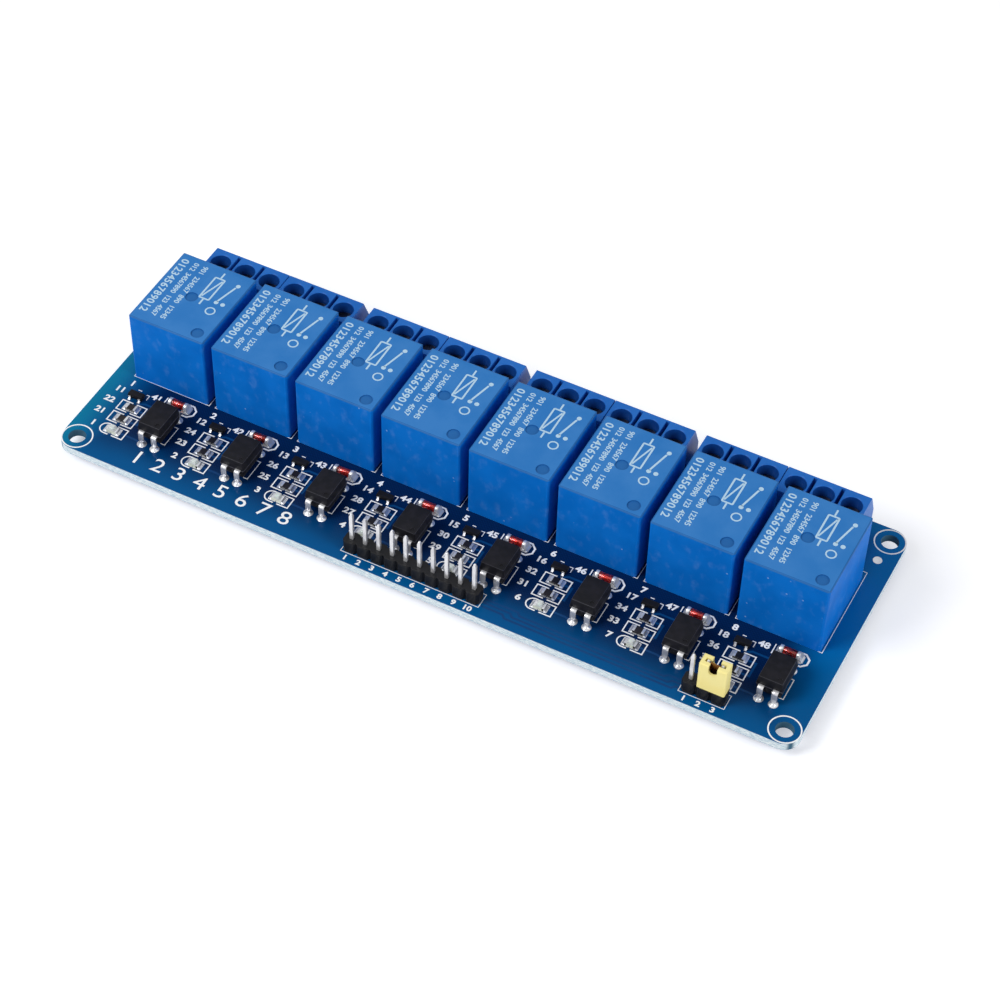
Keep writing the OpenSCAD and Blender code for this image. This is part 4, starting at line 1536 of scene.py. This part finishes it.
@dataclass
class DriverParts(Assembly):
    """Optocouplers, diodes, transistors, chip resistors and indicator lamps."""

    lead_bend: float = 0.45  # radius of the bend's outer face
    lead_thick: float = 0.25
    lead_share: float = 0.84  # width of a lead, as a share of the plain one
    foot_width: float = 0.6
    shoulder: float = 0.95  # height above the board at which a lead narrows
    taper: float = 0.35
    cap_rim: float = 0.14
    slug_share: float = 0.8  # radius of a diode's slug, as a share of its glass

    def build(self) -> None:
        """Build every driver part."""
        looks = self.finishes
        self.fine("optocoupler_bodies", looks.optocoupler, 0.1, Slot.EPOXY, segments=3,
                  shortest=0.5)
        self.optocoupler_leads()
        self.diodes()
        self.fine("transistor_bodies", looks.epoxy, 0.05, Slot.EPOXY)
        self.fine("transistor_leads", looks.tin, 0.03, Slot.TIN)
        self.fine("resistor_bodies", looks.ceramic, 0.04, Slot.CHIP)
        self.fine("resistor_ends", looks.solder, 0.04, Slot.TIN)
        self.fine("indicator_bases", looks.laminate, 0.04, Slot.LAMP_BASE)
        self.fine("indicator_ends", looks.solder, 0.04, Slot.TIN)
        self.fine("indicator_lenses", looks.lens, 0.06, Slot.LAMP_LENS, segments=3)
        self.lamp_dies()

    def optocoupler_leads(self) -> None:
        """Bend the leads: flat out of the side, down, and narrow into the board."""
        form = Form()
        bodies = self.frame.solids("optocoupler_bodies")
        for solid in self.frame.solids("optocoupler_leads"):
            body = nearest(bodies, solid.centre)
            self.lead(form, solid, -1.0 if solid.centre.y < body.centre.y else 1.0)
        form.soften(0.05, 2, 40.0)
        form.piece("fine_optocoupler_leads", self.finishes.tin, slot=Slot.TIN,
                   replaces=("optocoupler_leads",), outward=True)

    def lead(self, form: Form, solid: Box, facing: float) -> None:
        """Sweep one lead from the body to the tip under the board.

        Args:
            form: Form to add it to.
            solid: Box of the plain lead.
            facing: -1 for a lead at the front of the body and 1 for one behind it.
        """
        outer, inner = (solid.low.y, solid.high.y) if facing < 0 else (solid.high.y, solid.low.y)
        half, middle, top = self.lead_share * solid.size.x / 2, solid.centre.x, solid.high.z
        face = form.bm.faces.new([
            form.bm.verts.new((middle + side * half, inner, top - depth))
            for side, depth in ((-1, 0.0), (1, 0.0), (1, self.lead_thick), (-1, self.lead_thick))])
        bend = outer - facing * self.lead_bend
        face = form.push(face, (0, bend - inner, 0))
        made = bmesh.ops.spin(
            form.bm, geom=[face] + face.edges[:] + face.verts[:],
            cent=(middle, bend, top - self.lead_bend), axis=(facing, 0, 0), dvec=(0, 0, 0),
            angle=-math.pi / 2, steps=5, use_merge=False, use_duplicate=False)
        face = next(g for g in made["geom_last"] if isinstance(g, Face))
        shoulder = self.frame.box("circuit_board").high.z + self.shoulder
        face = form.push(face, (0, 0, shoulder - face.calc_center_median().z))
        face = form.push(face, (0, 0, -self.taper))
        centre = face.calc_center_median()
        narrow = (Matrix.Translation(centre)
                  @ Matrix.Diagonal((self.foot_width / (2 * half), 1.0, 1.0, 1.0))
                  @ Matrix.Translation(-centre))
        bmesh.ops.transform(form.bm, matrix=narrow, verts=face.verts[:])
        form.push(face, (0, 0, solid.low.z - centre.z))

    def diodes(self) -> None:
        """Build glass diodes: tinned caps, a red slug, and clear glass round it."""
        caps, glass, slugs = Form(), Form(), Form()
        along = Vector((1, 0, 0))
        for solid in self.frame.solids("diode_caps"):
            radius, length, rim = solid.size.z / 2, solid.size.x, self.cap_rim
            half_cap = ((0.0, 0.0), (radius - rim, 0.0), (radius - 0.04, 0.04), (radius, rim))
            start = Vector((solid.low.x, solid.centre.y, solid.centre.z))
            caps.lathe([*half_cap, *self.mirrored(half_cap, length)], start, along, 24)
        for solid in self.frame.solids("diode_glass"):
            radius, length = solid.size.z / 2, solid.size.x
            start = Vector((solid.low.x, solid.centre.y, solid.centre.z))
            shell = ((0.0, 0.0), (radius * 0.92, 0.0), (radius, 0.16))
            glass.lathe([*shell, (radius * 0.97, length / 2), *self.mirrored(shell, length)],
                        start, along, 28)
            core = radius * self.slug_share
            slug = ((0.0, 0.02), (core * 0.8, 0.02), (core, 0.2))
            slugs.lathe([*slug, *self.mirrored(slug, length)], start, along, 20)
        caps.piece("diode_ends", self.finishes.tin, slot=Slot.TIN, replaces=("diode_caps",),
                   outward=True)
        glass.piece("diode_shells", self.finishes.glass, slot=Slot.GLASS,
                    replaces=("diode_glass",), outward=True)
        slugs.piece("diode_slugs", self.finishes.red, slot=Slot.GLASS, outward=True)

    @staticmethod
    def mirrored(profile: Run, length: float) -> Run:
        """Return a profile's points from the other end of a piece of some length."""
        return tuple((radius, length - along) for radius, along in reversed(profile))

    def lamp_dies(self) -> None:
        """Build the pale green die and its bond wire's pad in each lamp."""
        form = Form()
        for lens in self.frame.solids("indicator_lenses"):
            foot = Vector((lens.centre.x - 0.1, lens.centre.y, lens.low.z + 0.02))
            form.block(foot - Vector((0.22, 0.2, 0)), foot + Vector((0.22, 0.2, 0.16)))
            form.block(foot + Vector((0.32, -0.05, 0)), foot + Vector((0.46, 0.05, 0.1)))
        form.soften(0.02)
        form.piece("lamp_dies", self.finishes.die, slot=Slot.LAMP_LENS, outward=True)


# ---------- Pin headers ----------


@dataclass
class Headers(Assembly):
    """Pin headers, and the jumper on the power header."""

    def build(self) -> None:
        """Dress both headers and the jumper."""
        looks = self.finishes
        for name in ("signal", "power"):
            self.fine(name + "_header_body", looks.header, 0.07, Slot.HEADER)
            self.fine(name + "_header_pins", looks.tin, 0.04, Slot.TIN)
        self.fine("jumper_cap", looks.cap, 0.0, Slot.JUMPER, Body.JUMPER)
        self.fine("jumper_clip", looks.bronze, 0.04, Slot.CLIP, Body.JUMPER)


# ---------- Board print ----------


@dataclass
class BoardPrint(Assembly):
    """White print round the parts: outlines and plain numbers.

    A channel's lines and labels are given from the middle of its relay's front edge. A label is
    the number that the channel's own number is added to, and its place.
    """

    lines: tuple[tuple[Run, float], ...] = (
        (((0.55, -1.75), (0.55, -3.85)), 0.2),
        (((4.75, -1.5), (5.75, -1.5), (6.6, -2.3), (6.6, -3.4), (5.75, -4.2), (4.75, -4.2)), 0.32),
        (((-3.1, -3.0), (-2.5, -3.0), (-2.5, -4.1)), 0.16),
        (((-5.0, -2.6), (-4.3, -2.6)), 0.16),
        (((5.2, -7.2), (6.0, -7.2), (6.0, -11.6), (5.2, -11.6)), 0.16))
    labels: tuple[tuple[int, Point2], ...] = (
        (0, (-6.7, -1.75)), (10, (-7.9, -3.9)), (40, (-1.1, -2.8)))
    small: float = 1.25
    pin_label: float = 1.05
    thin: float = 0.16
    bracket: float = 0.22
    chip_half: Point2 = (2.45, 1.16)
    chip_gap: float = 0.35
    chips_x: float = -3.65
    relay_margin: tuple[float, float, float] = (0.12, 0.4, 1.25)  # left, right and rear
    hole_ring: float = 2.78
    title_start: float = 14.6
    title_step: float = 4.15
    top: float = 0.0
    ink: Ink = field(default_factory=Ink)

    def build(self) -> None:
        """Print the whole board."""
        box = self.frame.box("circuit_board")
        self.top = box.high.z
        for place, node in enumerate(self.frame.numbered("relay_cover")):
            self.channel(self.frame.box(node), place + 1)
        self.headers()
        self.corners()
        for place, digit in enumerate("12345678"):
            x = box.low.x + self.title_start + place * self.title_step
            self.ink.number(digit, (x, box.low.y + 3.5), self.top, 3.0, weight=0.0)
        self.ink.finish("board_print", self.finishes.print)

    def channel(self, case: Box, index: int) -> None:
        """Print one channel's outlines and numbers.

        Args:
            case: Box of the channel's relay.
            index: Number of the channel.
        """
        x, front = case.centre.x, case.low.y
        left, right, rear = self.relay_margin
        reveal = 0.06 if index == 1 else 0.0  # only the first relay leaves its front line in sight
        self.ink.box_line((case.low.x - left, front - reveal),
                          (case.high.x + right, case.high.y + rear), self.top, width=self.thin)
        for run, width in self.lines:
            self.ink.path([(x + dx, front + dy) for dx, dy in run], self.top, width)
        for base, (dx, dy) in self.labels:
            self.label(base + index, x + dx, front + dy)
        self.chips(x, index)

    def label(self, number: int, x: float, y: float) -> None:
        """Print a small number."""
        self.ink.number(str(number), (x, y), self.top, self.small)

    def chips(self, x: float, index: int) -> None:
        """Print the outlines and numbers of the two resistors and the lamp.

        Args:
            x: X of the channel's relay.
            index: Number of the channel.
        """
        column = x + self.chips_x
        chips = [b for b in self.frame.solids("resistor_bodies") if abs(b.centre.x - column) < 1.0]
        for row, chip in enumerate(sorted(chips, key=lambda b: -b.centre.y)):
            for side in (-1, 1):
                self.half_box(chip.centre, side)
            self.label(20 + 2 * index - row, x - 8.3, chip.centre.y + 0.25)
        lamps = self.frame.solids("indicator_bases")
        lamp = min(lamps, key=lambda b: abs(b.centre.x - column)).centre
        self.half_box(lamp, 1)
        self.half_round(lamp)
        self.label(index, x - 7.7, lamp.y + 0.1)

    def half_box(self, centre: Vector, side: int) -> None:
        """Print a square bracket at one end of a chip.

        Args:
            centre: Middle of the chip.
            side: -1 for its left end and 1 for its right end.
        """
        half_x, half_y = self.chip_half
        near, far = centre.x + side * self.chip_gap, centre.x + side * half_x
        low, high = centre.y - half_y, centre.y + half_y
        self.ink.path([(near, low), (far, low), (far, high), (near, high)], self.top, self.bracket)

    def half_round(self, centre: Vector) -> None:
        """Print a round bracket at the left end of a lamp.

        Args:
            centre: Middle of the lamp.
        """
        half_x, half_y = self.chip_half
        bend, near = centre.x - half_x + half_y, centre.x - self.chip_gap
        arc = [(bend + half_y * math.cos(a), centre.y + half_y * math.sin(a))
               for a in (math.radians(90 + 22.5 * step) for step in range(9))]
        self.ink.path([(near, centre.y + half_y), *arc, (near, centre.y - half_y)],
                      self.top, self.bracket)

    def headers(self) -> None:
        """Print an outline round each header and a number at each pin."""
        for name in ("signal_header", "power_header"):
            body = self.frame.box(name + "_body")
            self.ink.box_line((body.low.x - 0.25, body.low.y - 0.2),
                              (body.high.x + 0.25, body.high.y + 0.35), self.top, width=self.thin)
            for place, pin in enumerate(self.frame.solids(name + "_pins")):
                self.ink.number(str(place + 1), (pin.centre.x - 0.1, body.low.y - 1.15),
                                self.top, self.pin_label)

    def corners(self) -> None:
        """Print a ring round each mounting hole."""
        spacing = self.frame.mount("mounting_holes")["dims"]
        half_x, half_y = spacing["spacing_x_mm"] / 2, spacing["spacing_y_mm"] / 2
        for x in (-half_x, half_x):
            for y in (-half_y, half_y):
                self.ink.ring((x, y, self.top), self.hole_ring, 0.24, 64)


# ---------- Studio ----------


@dataclass(frozen=True)
class View:
    """Where the camera stands, in millimetres and degrees."""

    target: Point3 = (4.50, -0.61, 3.6)
    distance: float = 447.7
    azimuth: float = 26.153
    elevation: float = 48.139
    roll: float = 1.757
    lens: float = 95.41

    def make(self) -> None:
        """Create the camera."""
        azimuth, elevation, roll = (
            math.radians(a) for a in (self.azimuth, self.elevation, self.roll))
        back = Vector((math.sin(azimuth) * math.cos(elevation),
                       -math.cos(azimuth) * math.cos(elevation), math.sin(elevation)))
        across = Vector((0, 0, 1)).cross(back).normalized()
        up = back.cross(across)
        right = math.cos(roll) * across + math.sin(roll) * up
        above = math.cos(roll) * up - math.sin(roll) * across
        place = (Vector(self.target) + back * self.distance) * MM
        turn = Matrix((right, above, back)).transposed().to_4x4()
        camera = bpy.data.cameras.new("camera")
        camera.lens = self.lens
        camera.sensor_width = 36.0
        camera.clip_start = 0.01
        holder = bpy.data.objects.new("camera", camera)
        holder.matrix_world = Matrix.Translation(place) @ turn
        bpy.context.scene.collection.objects.link(holder)
        bpy.context.scene.camera = holder


@dataclass(frozen=True)
class Lamp:
    """A soft rectangular lamp that faces the object, in metres and watts."""

    name: str
    place: Point3
    size: Point2
    power: float

    def make(self) -> None:
        """Create the lamp."""
        light = bpy.data.lights.new(self.name, "AREA")
        light.shape = "RECTANGLE"
        light.size, light.size_y = self.size
        light.energy = self.power
        holder = bpy.data.objects.new(self.name, light)
        place = Vector(self.place)
        turn = place.to_track_quat("Z", "Y").to_matrix().to_4x4()
        holder.matrix_world = Matrix.Translation(place) @ turn
        bpy.context.scene.collection.objects.link(holder)


@dataclass
class Studio:
    """A white floor, an even sky and soft lamps."""

    floor_size: float = 6000.0
    floor_glow: float = 0.45
    sky: float = 0.35
    lamps: tuple[Lamp, ...] = (
        Lamp("key_lamp", (-0.42, -0.46, 0.62), (0.4, 0.4), 4.6),
        Lamp("right_lamp", (0.95, -0.15, 0.38), (0.3, 0.6), 4.2),
    )

    def build(self) -> None:
        """Build the floor, the sky and the lamps."""
        form = Form()
        half = self.floor_size / 2
        form.panel((-half, -half), (half, half), 0.0)
        form.placed("floor", self.floor_paint())
        self.make_sky()
        for lamp in self.lamps:
            lamp.make()
        bpy.context.scene.view_settings.view_transform = "Standard"

    def floor_paint(self) -> Material:
        """Make a pale matt finish that adds a little light in the camera's sight.

        Returns:
            The finish.
        """
        paint = Paint("floor_paint")
        cloud = paint.noise(400.0, detail=2.0)
        paint.colour(paint.blend(cloud, (0.78, 0.78, 0.8), (0.8, 0.8, 0.81)))
        paint.set(roughness=0.9, specular_ior_level=0.1, emission_color=(0.93, 0.95, 1.0))
        path = paint.node("ShaderNodeLightPath")
        seen = paint.math("MAXIMUM", path.outputs["Is Camera Ray"], path.outputs["Is Glossy Ray"])
        seen = paint.math("MAXIMUM", seen, path.outputs["Is Transmission Ray"])
        glow = paint.times(seen, self.floor_glow)
        paint.feed(glow, paint.shader.inputs["Emission Strength"])
        return paint.material

    def make_sky(self) -> None:
        """Light the object evenly, and show white behind it."""
        world = bpy.data.worlds.new("sky")
        bpy.context.scene.world = world
        world.use_nodes = True
        tree = world.node_tree
        ground = tree.nodes["Background"]
        ground.inputs["Color"].default_value = (1.0, 1.0, 1.0, 1.0)
        path = tree.nodes.new("ShaderNodeLightPath")
        seen = path.outputs["Is Camera Ray"]
        for ray in ("Is Glossy Ray", "Is Transmission Ray"):
            either = tree.nodes.new("ShaderNodeMath")
            either.operation = "MAXIMUM"
            tree.links.new(seen, either.inputs[0])
            tree.links.new(path.outputs[ray], either.inputs[1])
            seen = either.outputs[0]
        level = tree.nodes.new("ShaderNodeMapRange")
        tree.links.new(seen, level.inputs["Value"])
        level.inputs["To Min"].default_value = self.sky
        level.inputs["To Max"].default_value = 1.0
        tree.links.new(level.outputs["Result"], ground.inputs["Strength"])


def main() -> None:
    """Build the whole scene in order."""
    logging.basicConfig(level=logging.INFO, format="%(message)s")
    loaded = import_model()
    View().make()
    Studio().build()
    frame = Frame(loaded["nodes"], loaded["record"])
    finishes = Finishes(frame)
    for assembly in (CircuitBoard, Tracks, Solder, Relays, TerminalBlocks, DriverParts, Headers,
                     BoardPrint):
        assembly(frame, finishes).build()


if __name__ == "__main__":
    main()
